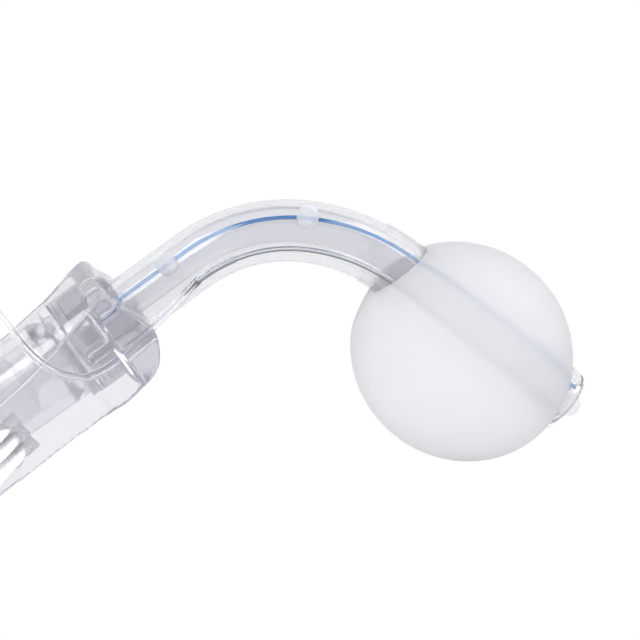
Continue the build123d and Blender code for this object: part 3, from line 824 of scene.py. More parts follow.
@dataclass
class ResinBead:
    """A gumdrop of resin that closes a hole in the wall."""

    name: str
    node: str
    station: float
    clock: float = 38.0
    radius: float = 1.9
    height: float = 2.3
    tube_radius: float = 5.25

    def build(self) -> bpy.types.Object:
        """Build the bead.

        Returns:
            The bead.
        """
        point, out = LINE.direction(self.station, self.clock)
        _, along, _ = (rows[0] for rows in LINE.frames(np.array([self.station])))
        side = np.cross(out, along)
        turn = np.linspace(0, 2 * math.pi, 48, endpoint=False)
        rings = []
        foot = -0.45
        for t in np.linspace(0, 1, 22):
            rise = foot + (self.height - foot) * math.sin(t * math.pi / 2) ** 0.9
            share = max(math.cos(t * math.pi / 2), 0.0) ** 0.55 if t < 1 else 0.0
            radius = self.radius * (0.02 + 0.98 * share)
            ring = radius * (np.outer(np.cos(turn), along) + np.outer(np.sin(turn), side))
            rings.append(point + out * (self.tube_radius + rise) + ring)
        mesh = smooth(outward(loft(self.name, rings, caps=True)), 60)
        return stand_in(self.name, mesh, Finish.RESIN, TUBE_BODY, [self.node])


# The cuff

@dataclass
class Cuff:
    """The blown-up frosted balloon with its two bonded collars."""

    half_length: float = 19.5
    radius: float = 18.3
    ahead: float = 16.7
    drop: float = 4.43
    tube_radius: float = 5.25
    collar_film: float = 0.3
    collar_behind: float = 6.6
    end_collar_back: float = 4.0
    end_collar_margin: float = 1.4
    tip_round: float = 1.0
    collar_bands: int = 13
    film_bands: int = 71
    sides: int = 160

    def meridian(self, angle: float) -> list[tuple[float, float]]:
        """Follow the film from collar to collar at one angle about the tube.

        Args:
            angle: The angle about the tube, 0 across and 90 degrees up.

        Returns:
            Pairs of a distance past the neck and a distance from the tube's line.
        """
        collar = self.tube_radius + self.collar_film
        offset = -self.drop * math.sin(angle)
        k = math.sqrt(1 - (self.drop**2 - offset**2) / self.radius**2)
        a, b = self.half_length * k, self.radius * k
        reach = (collar - offset) / b
        first = math.pi - math.asin(reach)
        final = math.asin(reach)
        path = [(-self.collar_behind, self.tube_radius + 0.02), (-self.collar_behind, collar - 0.05)]
        path += [(-self.collar_behind + 0.05, collar)]
        start = self.ahead + a * math.cos(first)
        path += [(s, collar) for s in np.linspace(-self.collar_behind + 0.6, start - 0.8, 10)]
        for phi in np.linspace(first, final, 72):
            path.append((self.ahead + a * math.cos(phi), offset + b * math.sin(phi)))
        last = LINE.tip_run - self.tip_round - self.end_collar_margin
        end = path[-1][0]
        path += [(s, collar) for s in np.linspace(end + 0.5, max(last - 0.1, end + 0.7), 6)]
        path += [(path[-1][0] + 0.08, collar - 0.1), (path[-1][0] + 0.08, self.tube_radius + 0.02)]
        return path

    def build(self) -> bpy.types.Object:
        """Build the film as a thin shell.

        Returns:
            The cuff.
        """
        columns = []
        for angle in np.linspace(0, 2 * math.pi, self.sides, endpoint=False):
            columns.append([
                self.place(s, r, angle) for s, r in self.meridian(angle)
            ])
        rings = np.array(columns).transpose(1, 0, 2)
        cuff = new_object("frosted_cuff", outward(loft("frosted_cuff", rings)), Finish.FILM)
        cuff.data.polygons.foreach_set("use_smooth", [True] * len(cuff.data.polygons))
        cuff.data.materials.append(Finish.COLLAR.material())
        bands = np.repeat(np.arange(len(rings) - 1), self.sides)
        clear = (bands < self.collar_bands) | (bands >= self.collar_bands + self.film_bands)
        cuff.data.polygons.foreach_set("material_index", clear.astype(np.int32))
        ease = cuff.modifiers.new("ease", "SMOOTH")
        ease.factor = 0.5
        ease.iterations = 3
        settle(cuff)
        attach(cuff, TUBE_BODY)
        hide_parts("cuff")
        LOG.info("frosted_cuff: %d faces", len(cuff.data.polygons))
        return cuff

    def place(self, along: float, out: float, angle: float) -> np.ndarray:
        """Put a point of a meridian in the row frame.

        Args:
            along: Distance past the neck.
            out: Distance from the tube's line.
            angle: The angle about the tube.

        Returns:
            The point in millimetres.
        """
        point, _, up = (rows[0] for rows in LINE.frames(np.array([LINE.neck + along])))
        return point + out * (math.cos(angle) * np.array([0.0, 1.0, 0.0]) + math.sin(angle) * up)


# The neck flange and its connector

@dataclass
class NeckFlange:
    """The soft moulded saddle with its two wings."""

    voxel: float = 0.24
    rounds: int = 6

    def build(self) -> bpy.types.Object:
        """Soften the saddle's edges as moulded vinyl has them.

        Returns:
            The flange.
        """
        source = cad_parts["neck_flange"]
        mesh = source.data.copy()
        points = np.array([source.matrix_world @ v.co for v in mesh.vertices]) / MM
        mesh.vertices.foreach_set("co", (HUB.to_hub(points) * MM).ravel())
        flange = new_object("soft_neck_flange", mesh, Finish.FLANGE)
        work = bmesh.new()
        work.from_mesh(mesh)
        bmesh.ops.remove_doubles(work, verts=work.verts, dist=0.00001)
        work.to_mesh(mesh)
        work.free()
        remesh = flange.modifiers.new("remesh", "REMESH")
        remesh.mode = "VOXEL"
        remesh.voxel_size = self.voxel * MM
        remesh.use_smooth_shade = True
        ease = flange.modifiers.new("ease", "SMOOTH")
        ease.factor = 0.5
        ease.iterations = self.rounds
        settle(flange)
        points = np.array([v.co for v in flange.data.vertices]) / MM
        flange.data.vertices.foreach_set("co", (HUB.to_row(points) * MM).ravel())
        flange.data.polygons.foreach_set("use_smooth", [True] * len(flange.data.polygons))
        flange.data.materials.clear()
        flange.data.materials.append(Finish.FLANGE.material())
        flange.data.update()
        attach(flange, TUBE_BODY)
        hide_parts("neck_flange")
        LOG.info("soft_neck_flange: %d faces", len(flange.data.polygons))
        return flange


@dataclass
class BreathingConnector:
    """The moulded connector in the hub, with its tapered end."""

    root_radius: float = 7.0
    shoulder_radius: float = 8.6
    taper_radius: float = 7.735
    taper_per_length: float = 1 / 80
    taper_length: float = 12.5
    bore: float = 3.75
    tube_radius: float = 5.25
    funnel_radius: float = 5.6
    mouth_radius: float = 5.75
    front: float = -2.6
    shoulder: float = -8.5
    land: float = -10.5
    taper: float = -14.0

    def build(self) -> bpy.types.Object:
        """Build the connector.

        Returns:
            The connector.
        """
        mouth = self.taper - self.taper_length
        end = self.taper_radius - self.taper_length * self.taper_per_length
        outline = rounded([
            (self.front, self.tube_radius + 0.02), (self.front, self.root_radius), (self.shoulder, self.root_radius),
            (self.shoulder, self.shoulder_radius), (self.land, self.shoulder_radius), (self.land, self.taper_radius),
            (self.taper, self.taper_radius), (mouth, end), (mouth, self.mouth_radius), (-14.0, self.funnel_radius),
            (-9.5, self.bore), (-7.0, self.bore), (-7.0, self.tube_radius + 0.02),
        ], 0.35)
        mesh = smooth(outward(loft("breathing_connector", turned(outline, 96, HUB.to_row), closed=True)), 35)
        return stand_in(
            "breathing_connector", mesh, Finish.CONNECTOR, TUBE_BODY, ["connector_15mm"]
        )


# The inflation line

@dataclass
class InflationLine:
    """The thin line from the tube's port to its put-away coil and on to the pilot balloon."""

    radius: float = 0.7
    bore: float = 0.36
    length: float = 0.282
    by_hub: tuple[Point, ...] = (
        (14.2, -3.9733, -2.1126), (10.9, -5.33, -2.83), (6.6, -6.75, -3.0), (2.0, -9.2, -3.3), (-3.6, -10.5, -3.5),
        (-9.2, -11.5, -2.9), (-13.6, -10.8, 0.9), (-15.4, -7.2, 6.2), (-15.3, -1.8, 11.6),
    )
    to_table: tuple[Point, ...] = (
        (-25.6, 4.4, 34.4), (-34.6, 9.0, 35.2), (-43.8, 11.6, 28.2), (-49.4, 11.8, 18.0), (-53.4, 10.4, 8.4),
        (-59.2, 6.0, 2.6), (-66.0, 2.9, 1.5),
    )
    coil_centre: tuple[float, float] = (-72.0, -6.0)
    coil_turns: tuple[tuple[float, float], ...] = ((8.45, 1.15), (6.95, 1.15), (7.7, 2.55))
    turn_points: int = 16
    to_balloon: tuple[Point, ...] = ((-77.5, 2.2, 3.2), (-82.8, 1.0, 4.0), (-87.68, -1.28, 4.0))

    def coil(self) -> list[Point]:
        """The coil's own points, turn after turn.

        Returns:
            Points by the hub face, with heights above the table.
        """
        points = []
        outward_share = 1 / (0.75 + 0.25 * math.cos(2 * math.pi / self.turn_points))
        total = len(self.coil_turns) * self.turn_points
        for k in range(total + 1):
            turn = k / self.turn_points
            index = min(int(turn), len(self.coil_turns) - 1)
            here = np.array(self.coil_turns[index])
            after = np.array(self.coil_turns[min(index + 1, len(self.coil_turns) - 1)])
            share = np.clip((turn - index - 0.78) / 0.22, 0, 1) if index < len(self.coil_turns) - 1 else 0.0
            radius, height = here + (after - here) * share * share * (3 - 2 * share)
            angle = math.pi / 2 + 2 * math.pi * turn
            radius = radius * outward_share
            points.append((
                self.coil_centre[0] + radius * math.cos(angle),
                self.coil_centre[1] + radius * math.sin(angle),
                height,
            ))
        return points

    def route(self) -> np.ndarray:
        """All control points of the line, in millimetres in the row frame."""
        level = list(self.to_table) + self.coil() + list(self.to_balloon)
        shift = np.array([HUB.origin()[0], 0, 0])
        return np.vstack([HUB.to_row(np.array(self.by_hub)), np.array(level) + shift])

    def followed(self) -> np.ndarray:
        """Read the line's points from its spline.

        Returns:
            Points along the smooth line, in metres.
        """
        route = self.route()
        curve = bpy.data.curves.new("inflation_line_route", "CURVE")
        curve.dimensions = "3D"
        spline = curve.splines.new("NURBS")
        spline.points.add(len(route) - 1)
        for target, point in zip(spline.points, route):
            target.co = (*(point * MM), 1)
        spline.order_u = 3
        spline.use_endpoint_u = True
        spline.resolution_u = 10
        holder = bpy.data.objects.new("inflation_line_route", curve)
        bpy.context.scene.collection.objects.link(holder)
        graph = bpy.context.evaluated_depsgraph_get()
        mesh = bpy.data.meshes.new_from_object(holder.evaluated_get(graph), depsgraph=graph)
        points = np.array([v.co for v in mesh.vertices])
        bpy.data.objects.remove(holder)
        bpy.data.meshes.remove(mesh)
        return points

    def build(self) -> bpy.types.Object:
        """Build the line as a tube with a bore.

        Returns:
            The line.
        """
        path = self.followed()
        tangents = np.gradient(path, axis=0)
        tangents /= np.linalg.norm(tangents, axis=1)[:, None]
        side = np.cross(tangents[0], (0, 0, 1.0))
        side /= np.linalg.norm(side)
        turn = np.linspace(0, 2 * math.pi, 16, endpoint=False)
        outer, inner = [], []
        for point, tangent in zip(path, tangents):
            side = side - tangent * side.dot(tangent)
            side /= np.linalg.norm(side)
            other = np.cross(tangent, side)
            ring = np.outer(np.cos(turn), side) + np.outer(np.sin(turn), other)
            outer.append(point / MM + ring * self.radius)
            inner.append(point / MM + ring * self.bore)
        mesh = smooth(outward(loft("inflation_line_wall", outer + inner[::-1], closed=True)), 50)
        piece = stand_in(
            "inflation_line_wall", mesh, Finish.LINE_WALL, TUBE_BODY,
            ["inflation_line", "line_coil", "line_tail"],
        )
        span = float(np.linalg.norm(np.diff(path, axis=0), axis=1).sum())
        LOG.info("inflation_line_wall: %.4f m along its spline", span)
        PilotBalloon().build()
        ValveHousing().build()
        return piece


# The neck tape

class NodeGroup:
    """A geometry node group with short calls for making and joining nodes."""

    def __init__(self, name: str) -> None:
        """Make a group that takes and gives a geometry.

        Args:
            name: The group's name.
        """
        self.tree = bpy.data.node_groups.new(name, "GeometryNodeTree")
        self.keys: dict[str, str] = {}
        self.entry = self.tree.nodes.new("NodeGroupInput")
        self.exit = self.tree.nodes.new("NodeGroupOutput")
        self.tree.interface.new_socket(name="Geometry", in_out="INPUT", socket_type="NodeSocketGeometry")
        self.tree.interface.new_socket(name="Geometry", in_out="OUTPUT", socket_type="NodeSocketGeometry")

    def input(self, name: str, kind: str = "NodeSocketFloat") -> None:
        """Add a named input.

        Args:
            name: The input's name.
            kind: Its socket type.
        """
        self.keys[name] = self.tree.interface.new_socket(name=name, in_out="INPUT", socket_type=kind).identifier

    def node(self, kind: str, **links: bpy.types.NodeSocket) -> bpy.types.Node:
        """Make a node and link sockets into it.

        Args:
            kind: The node's type.
            links: Sources by input name, with spaces as underscores.

        Returns:
            The new node.
        """
        node = self.tree.nodes.new(kind)
        for key, source in links.items():
            self.tree.links.new(source, node.inputs[key.replace("_", " ")])
        return node

    def run(self, piece: bpy.types.Object, **values: object) -> bpy.types.Object:
        """Run the group on an object and keep the result as its plain mesh.

        Args:
            piece: The object.
            values: The inputs by name, with spaces as underscores.

        Returns:
            The same object.
        """
        work = piece.modifiers.new(self.tree.name, "NODES")
        work.node_group = self.tree
        for key, value in values.items():
            work[self.keys[key.replace("_", " ")]] = value
        return settle(piece)


@dataclass(frozen=True)
class EdgeStitches:
    """The row of yarn loops along a woven edge."""

    spacing: float = 0.95
    length: float = 0.85
    thickness: float = 0.34

    def group(self) -> NodeGroup:
        """Build the node group that lays loops along a path.

        Returns:
            The group, with spacing, length, thickness and material as inputs.
        """
        group = NodeGroup("edge_stitches")
        for name in ("Spacing", "Length", "Thickness"):
            group.input(name)
        group.input("Material", "NodeSocketMaterial")
        given = group.entry.outputs
        path = group.node("GeometryNodeMeshToCurve", Mesh=given["Geometry"])
        spaced = group.node("GeometryNodeResampleCurve", Curve=path.outputs[0])
        spaced.mode = "LENGTH"
        group.tree.links.new(given["Spacing"], spaced.inputs["Length"])
        bead = group.node("GeometryNodeMeshIcoSphere")
        bead.inputs["Subdivisions"].default_value = 2
        size = group.node("ShaderNodeCombineXYZ", X=given["Length"], Y=given["Thickness"], Z=given["Thickness"])
        loop = group.node("GeometryNodeTransform", Geometry=bead.outputs["Mesh"], Scale=size.outputs[0])
        tangent = group.node("GeometryNodeInputTangent")
        facing = group.node("FunctionNodeAlignRotationToVector", Vector=tangent.outputs[0])
        facing.axis = "X"
        laid = group.node(
            "GeometryNodeInstanceOnPoints", Points=spaced.outputs[0], Instance=loop.outputs[0],
            Rotation=facing.outputs[0],
        )
        real = group.node("GeometryNodeRealizeInstances", Geometry=laid.outputs[0])
        dressed = group.node("GeometryNodeSetMaterial", Geometry=real.outputs[0], Material=given["Material"])
        group.tree.links.new(dressed.outputs[0], group.exit.inputs[0])
        return group

    def build(self, name: str, edges: Sequence[np.ndarray], finish: Finish) -> bpy.types.Object:
        """Lay loops along edges.

        Args:
            name: The piece's name.
            edges: Rows of points along each edge, in millimetres.
            finish: What the yarn is made of.

        Returns:
            The loops as one piece.
        """
        mesh = bpy.data.meshes.new(name)
        points = [tuple(point * MM) for edge in edges for point in edge]
        starts = np.cumsum([0] + [len(edge) for edge in edges])
        lines = [(i, i + 1) for k, edge in enumerate(edges) for i in range(starts[k], starts[k] + len(edge) - 1)]
        mesh.from_pydata(points, lines, [])
        piece = new_object(name, mesh, finish)
        self.group().run(
            piece, Spacing=self.spacing * MM, Length=self.length / 2 * MM, Thickness=self.thickness / 2 * MM,
            Material=finish.material(),
        )
        smooth(piece.data, 80)
        return piece


@dataclass
class NeckTape:
    """The woven tape: one loop from wing to wing, pleated where it goes through the eyelets."""

    width: float = 17.6
    thickness: float = 0.5
    lift: float = 0.2
    plan: tuple[tuple[float, float], ...] = (
        (-20.4, 1.45), (-35.0, 5.95), (-68.0, 19.55), (-112.0, 20.55), (-144.0, 1.55),
    )
    radii: tuple[float, ...] = (60.0, 34.0, 26.0, 22.0)
    wing_at_eyelet: float = 18.446
    eyelet_back: float = 27.6
    eyelet_drop: float = 2.3
    splay: float = 9.0
    by_wing: tuple[tuple[float, float], ...] = (
        (-5.2, -2.6), (-3.9, -2.55), (-2.6, -2.4), (-1.2, -1.9), (-0.4, -0.75), (0.4, 0.4), (1.8, 1.15), (3.6, 1.6),
    )
    gather: float = 7.4
    opened_at: float = 8.5
    pleats: int = 3
    rows: int = 48
    step: float = 0.9

    def wing_points(self) -> np.ndarray:
        """The tape's middle where it passes the far eyelet, in the row frame."""
        splay = math.radians(self.splay)
        start = np.array([-self.eyelet_back, self.wing_at_eyelet, -self.eyelet_drop])
        back = np.array([-math.cos(splay), math.sin(splay), 0.0])
        out = np.array([math.sin(splay), math.cos(splay), 0.0])
        return HUB.to_row(np.array([start + back * x + out * y for x, y in self.by_wing]))

    def loop_points(self) -> np.ndarray:
        """The tape's plan from behind the far wing to the middle of the loop, with rounded corners."""
        corners = [np.array([x, self.wing_at_eyelet + y]) for x, y in self.plan]
        corners.append(corners[-1] * (1, -1))
        out = [corners[0] + (corners[1] - corners[0]) * 0.45]
        for before, here, after, radius in zip(corners, corners[1:], corners[2:], self.radii):
            into, away = here - before, after - here
            into, away = into / np.linalg.norm(into), away / np.linalg.norm(away)
            half = math.acos(np.clip(into @ away, -1, 1)) / 2
            reach = radius * math.tan(half)
            start = here - into * reach
            for share in np.linspace(0, 1, 14):
                turn = 2 * half * share
                side = np.array([-into[1], into[0]]) * np.sign(into[0] * away[1] - into[1] * away[0])
                out.append(start + radius * (math.sin(turn) * into + (1 - math.cos(turn)) * side))
        out.append(np.array([corners[-2][0], 0.0]))
        plan = np.array(out)
        return np.column_stack([plan[:, 0] + HUB.origin()[0], plan[:, 1], np.full(len(plan), self.lift + self.width / 2)])

    def middle(self) -> np.ndarray:
        """The tape's whole middle line, evenly spaced.

        Returns:
            Points in millimetres from the end inside the far wing to the end inside the near wing.
        """
        half = np.vstack([self.wing_points(), self.loop_points()])
        points = np.vstack([half, (half * (1, -1, 1))[::-1][1:]])
        for _ in range(2):
            spans = np.linalg.norm(np.diff(points, axis=0), axis=1)
            far = np.concatenate([[0], np.cumsum(spans)])
            even = np.linspace(0, far[-1], int(far[-1] / self.step) + 1)
            points = np.column_stack([np.interp(even, far, points[:, k]) for k in range(3)])
            soft = points.copy()
            for _ in range(6):
                soft[1:-1] = (soft[:-2] + 2 * soft[1:-1] + soft[2:]) / 4
            points = soft
        return points

    def pleated(self, height: float) -> tuple[np.ndarray, np.ndarray]:
        """Fold the tape's width into a height.

        Args:
            height: How high the tape stands here.

        Returns:
            Heights from the middle and sideways places of evenly spaced points across the tape.
        """
        rise = np.linspace(0, height, 361)
        wave = np.sin(2 * math.pi * self.pleats * rise / height)
        low, high = 0.0, 6.0
        for _ in range(26):
            swing = (low + high) / 2
            length = np.hypot(np.diff(rise), np.diff(wave * swing)).sum()
            low, high = (swing, high) if length < self.width else (low, swing)
        side = wave * swing
        far = np.concatenate([[0], np.cumsum(np.hypot(np.diff(rise), np.diff(side)))])
        even = np.linspace(0, far[-1], self.rows + 1)
        return np.interp(even, far, rise) - height / 2, np.interp(even, far, side)

    def grid(self) -> np.ndarray:
        """Lay out the cloth.

        Returns:
            Points of the cloth, one row for each step along it.
        """
        middle = self.middle()
        along = np.gradient(middle, axis=0)
        along /= np.linalg.norm(along, axis=1)[:, None]
        spans = np.linalg.norm(np.diff(middle, axis=0), axis=1)
        far = np.concatenate([[0], np.cumsum(spans)])
        tilt = math.radians(HUB.pitch)
        grid = []
        for k, point in enumerate(middle):
            near_end = min(far[k], far[-1] - far[k])
            share = np.clip((near_end - 6.8) / self.opened_at, 0, 1)
            share = share * share * (3 - 2 * share)
            height = self.gather + (self.width - 0.05 - self.gather) * share
            lean = tilt * (1 - np.clip((near_end - 8.0) / 18.0, 0, 1))
            up = np.array([-math.sin(lean), 0.0, math.cos(lean)])
            up -= along[k] * up.dot(along[k])
            up /= np.linalg.norm(up)
            side = np.cross(along[k], up)
            rise, swing = self.pleated(height)
            if near_end < 4.0:
                swing = swing * (0.4 + 0.15 * near_end)
            row = point + np.outer(rise, up) + np.outer(swing, side)
            row[:, 2] = np.maximum(row[:, 2], self.lift)
            grid.append(row)
        return np.array(grid)

    def build(self) -> bpy.types.Object:
        """Build the tape and the loops along its edges.

        Returns:
            The tape.
        """
        grid = self.grid()
        count, size = grid.shape[:2]
        faces = [
            (i * size + k, (i + 1) * size + k, (i + 1) * size + k + 1, i * size + k + 1)
            for i in range(count - 1) for k in range(size - 1)
        ]
        mesh = bpy.data.meshes.new("woven_neck_tape")
        mesh.from_pydata([tuple(v) for v in (grid * MM).reshape(-1, 3)], [], faces)
        lengths = np.linalg.norm(np.diff(grid[:, size // 2], axis=0), axis=1)
        along = np.concatenate([[0], np.cumsum(lengths)])
        across = np.linspace(0, self.width, size)
        for name, values in (("along_mm", np.repeat(along, size)), ("across_mm", np.tile(across, count))):
            mesh.attributes.new(name, "FLOAT", "POINT").data.foreach_set("value", values.astype(np.float32))
        tape = new_object("woven_neck_tape", mesh, Finish.COTTON)
        thick = tape.modifiers.new("thickness", "SOLIDIFY")
        thick.thickness = self.thickness * MM
        thick.offset = 0.0
        settle(tape)
        smooth(tape.data, 50)
        stitches = EdgeStitches().build("tape_edge_loops", [grid[:, 0], grid[:, -1]], Finish.YARN)
        for piece in (tape, stitches):
            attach(piece, TUBE_BODY)
        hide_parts("neck_tape")
        length = float(np.linalg.norm(np.diff(self.middle(), axis=0), axis=1).sum())
        LOG.info("woven_neck_tape: %d faces, %.1f mm long", len(tape.data.polygons), length)
        return tape


# The pilot balloon and its valve

@dataclass(frozen=True)
class BalloonFrame:
    """The pilot balloon's frame: X from the line's end to the valve's mouth."""

    start: tuple[float, float] = (-90.4, -2.55)
    height: float = 4.0
    yaw: float = -155.0

    def to_row(self, points: np.ndarray) -> np.ndarray:
        """Turn points of the balloon's frame into the row frame.

        Args:
            points: Rows of x, y and z in millimetres.

        Returns:
            The same rows in the row frame, in millimetres.
        """
        points = np.atleast_2d(np.asarray(points, float))
        turn = math.radians(self.yaw)
        return np.column_stack([
            HUB.origin()[0] + self.start[0] + points[:, 0] * math.cos(turn) - points[:, 1] * math.sin(turn),
            self.start[1] + points[:, 0] * math.sin(turn) + points[:, 1] * math.cos(turn),
            self.height + points[:, 2],
        ])

    def lay(self, mesh: bpy.types.Mesh, ahead: float = 0.0) -> bpy.types.Mesh:
        """Lay a mesh that stands along Z, in metres, along the balloon's X.

        Args:
            mesh: The mesh.
            ahead: Where its zero comes on the balloon's X, in millimetres.

        Returns:
            The same mesh.
        """
        points = np.array([v.co for v in mesh.vertices]) / MM
        laid = self.to_row(np.column_stack([points[:, 2] + ahead, points[:, 1], points[:, 0]]))
        mesh.vertices.foreach_set("co", (laid * MM).ravel())
        mesh.update()
        return mesh


BALLOON = BalloonFrame()


@dataclass(frozen=True)
class PilotBalloon:
    """The clear pouch that fills with the cuff, blown and bonded round its two necks."""

    length: float = 22.0
    half_width: float = 6.45
    half_thickness: float = 3.95
    neck: float = 3.0
    line_neck: float = 1.88
    valve_neck: float = 2.28
    film: float = 0.3
    seam: float = 0.35
    sides: int = 96

    def ring(self, along: float, inset: float) -> np.ndarray:
        """Make the pouch's outline across its length.

        Args:
            along: Where on the pouch.
            inset: How far inside the outer skin.

        Returns:
            The ring in the row frame, in millimetres.
        """
        share = np.clip(2 * along / self.length - 1, -1, 1)
        swell = (1 - abs(share) ** 2.4) ** 0.62
        neck = self.line_neck if along < self.length / 2 else self.valve_neck
        wide = (neck**5 + (self.half_width * swell) ** 5) ** 0.2 - inset
        thick = (neck**5 + (self.half_thickness * swell) ** 5) ** 0.2 - inset
        wide, thick = min(wide, self.half_width - inset), min(thick, self.half_thickness - inset)
        turn = np.linspace(0, 2 * math.pi, self.sides, endpoint=False)
        rim = self.seam * swell * np.exp(-((np.sin(turn) / 0.12) ** 2)) if inset == 0 else 0.0
        across = (wide - self.seam * swell * (inset == 0) + rim) * np.cos(turn)
        return BALLOON.to_row(np.column_stack([np.full(self.sides, along), across, thick * np.sin(turn)]))

    def build(self) -> bpy.types.Object:
        """Build the pouch as a thin closed skin.

        Returns:
            The pouch.
        """
        stations = np.linspace(-self.neck, self.length + self.neck, 90)
        rings = [self.ring(s, 0.0) for s in stations] + [self.ring(s, self.film) for s in stations[::-1]]
        mesh = smooth(outward(loft("pilot_pouch", rings, closed=True)), 60)
        return stand_in("pilot_pouch", mesh, Finish.POUCH, TUBE_BODY, ["pilot_balloon"])


@dataclass(frozen=True)
class ValveHousing:
    """The valve's white body with its grip ribs, luer mouth and two lugs."""

    start: float = 19.0
    radius: float = 3.28
    luer_radius: float = 3.0
    chamber: float = 2.3
    ribs: int = 12
    rib_radius: float = 0.34
    rib_length: float = 7.0
    lug_radius: float = 3.88

    def outline(self) -> list[tuple[float, float]]:
        """The body's section, out along the outside and back along the bore."""
        corners = [
            (6.0, self.chamber), (6.0, self.radius), (16.0, self.radius), (17.0, self.luer_radius),
            (24.0, self.luer_radius), (24.0, 2.17), (16.0, 1.93), (16.0, 1.35), (15.2, 1.35), (15.2, self.chamber),
        ]
        return rounded(corners, 0.3, 4)

    def rib_group(self) -> NodeGroup:
        """Build the node group that sets rods round the body.

        Returns:
            The group, with the count, radius and rod sizes as inputs.
        """
        group = NodeGroup("grip_ribs")
        group.input("Count", "NodeSocketInt")
        for name in ("Radius", "Rod Radius", "Rod Length"):
            group.input(name)
        group.input("Material", "NodeSocketMaterial")
        given = group.entry.outputs
        circle = group.node("GeometryNodeMeshCircle", Vertices=given["Count"], Radius=given["Radius"])
        rod = group.node("GeometryNodeMeshCylinder", Radius=given["Rod Radius"], Depth=given["Rod Length"])
        rod.inputs["Vertices"].default_value = 16
        stood = group.node("GeometryNodeInstanceOnPoints", Points=circle.outputs[0], Instance=rod.outputs["Mesh"])
        real = group.node("GeometryNodeRealizeInstances", Geometry=stood.outputs[0])
        dressed = group.node("GeometryNodeSetMaterial", Geometry=real.outputs[0], Material=given["Material"])
        group.tree.links.new(dressed.outputs[0], group.exit.inputs[0])
        return group

    def lug(self, middle: float) -> bpy.types.Mesh:
        """Build one lug of the luer lock.

        Args:
            middle: Its angle about the body.

        Returns:
            The lug's mesh.
        """
        rings = []
        for turn in np.linspace(middle - 0.46, middle + 0.46, 9):
            ring = [(s, r * math.cos(turn), r * math.sin(turn)) for s, r in (
                (22.5, 2.8), (22.7, self.lug_radius), (23.9, self.lug_radius), (24.0, 2.8),
            )]
            rings.append(BALLOON.to_row(np.array(ring) + (self.start, 0, 0)))
        return outward(loft("luer_lug", rings, caps=True))

    def build(self) -> bpy.types.Object:
        """Build the housing.

        Returns:
            The housing.
        """
        place = lambda ring: BALLOON.to_row(ring + (self.start, 0, 0))
        body = outward(loft("valve_body", turned(self.outline(), 64, place), closed=True))
        holder = new_object("grip_ribs", bpy.data.meshes.new("grip_ribs"), Finish.WHITE)
        self.rib_group().run(
            holder, Count=self.ribs, Radius=self.radius * MM, Rod_Radius=self.rib_radius * MM,
            Rod_Length=self.rib_length * MM, Material=Finish.WHITE.material(),
        )
        ribs = BALLOON.lay(holder.data, self.start + 11.0)
        work = bmesh.new()
        for mesh in (body, ribs, self.lug(0.0), self.lug(math.pi)):
            work.from_mesh(mesh)
        work.to_mesh(body)
        work.free()
        bpy.data.objects.remove(holder)
        return stand_in(
            "ribbed_valve_body", smooth(body, 35), Finish.WHITE, TUBE_BODY, ["valve_housing"]
        )


@dataclass(frozen=True)
class ReturnSpring:
    """The steel spring that closes the valve and shortens as the plunger goes in, built here at one length."""

    first: float = 26.7
    final: float = 30.85
    radius: float = 1.5
    wire: float = 0.2
    turns: float = 5.0
    keep: float = 0.73

    def group(self) -> NodeGroup:
        """Build the node group of a wire spring with closed ends.

        Returns:
            The group, with turns, radius, height, wire and material as inputs.
        """
        group = NodeGroup("wire_spring")
        for name in ("Turns", "Radius", "Height", "Wire"):
            group.input(name)
        group.input("Material", "NodeSocketMaterial")
        given = group.entry.outputs
        helix = group.node(
            "GeometryNodeCurveSpiral", Rotations=given["Turns"], Start_Radius=given["Radius"],
            End_Radius=given["Radius"], Height=given["Height"],
        )
        helix.inputs["Resolution"].default_value = 40
        end = group.node("GeometryNodeCurvePrimitiveCircle", Radius=given["Radius"])
        end.inputs["Resolution"].default_value = 40
        top = group.node("ShaderNodeCombineXYZ", Z=given["Height"])
        far_end = group.node("GeometryNodeTransform", Geometry=end.outputs[0], Translation=top.outputs[0])
        path = group.node("GeometryNodeJoinGeometry")
        for source in (helix, end, far_end):
            group.tree.links.new(source.outputs[0], path.inputs[0])
        section = group.node("GeometryNodeCurvePrimitiveCircle", Radius=given["Wire"])
        section.inputs["Resolution"].default_value = 12
        wire = group.node("GeometryNodeCurveToMesh", Curve=path.outputs[0])
        group.tree.links.new(section.outputs[0], wire.inputs["Profile Curve"])
        real = group.node("GeometryNodeRealizeInstances", Geometry=wire.outputs[0])
        dressed = group.node("GeometryNodeSetMaterial", Geometry=real.outputs[0], Material=given["Material"])
        group.tree.links.new(dressed.outputs[0], group.exit.inputs[0])
        return group

    def build(self) -> bpy.types.Object:
        """Build the spring at one length.

        Returns:
            The spring.
        """
        spring = new_object("return_spring", bpy.data.meshes.new("return_spring"), Finish.STEEL)
        self.group().run(
            spring, Turns=self.turns, Radius=self.radius * MM, Height=(self.final - self.first) * MM,
            Wire=(self.wire - 0.01) * MM, Material=Finish.STEEL.material(),
        )
        BALLOON.lay(spring.data, self.first)
        smooth(spring.data, 60)
        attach(spring, TUBE_BODY)
        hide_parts("valve_spring")
        seat = BALLOON.to_row(np.array([[self.first - self.wire, 0, 0]]))[0] * MM
        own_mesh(spring)
        LOG.info("return_spring: %d faces", len(spring.data.polygons))
        return spring


# Nodes that keep their own mesh

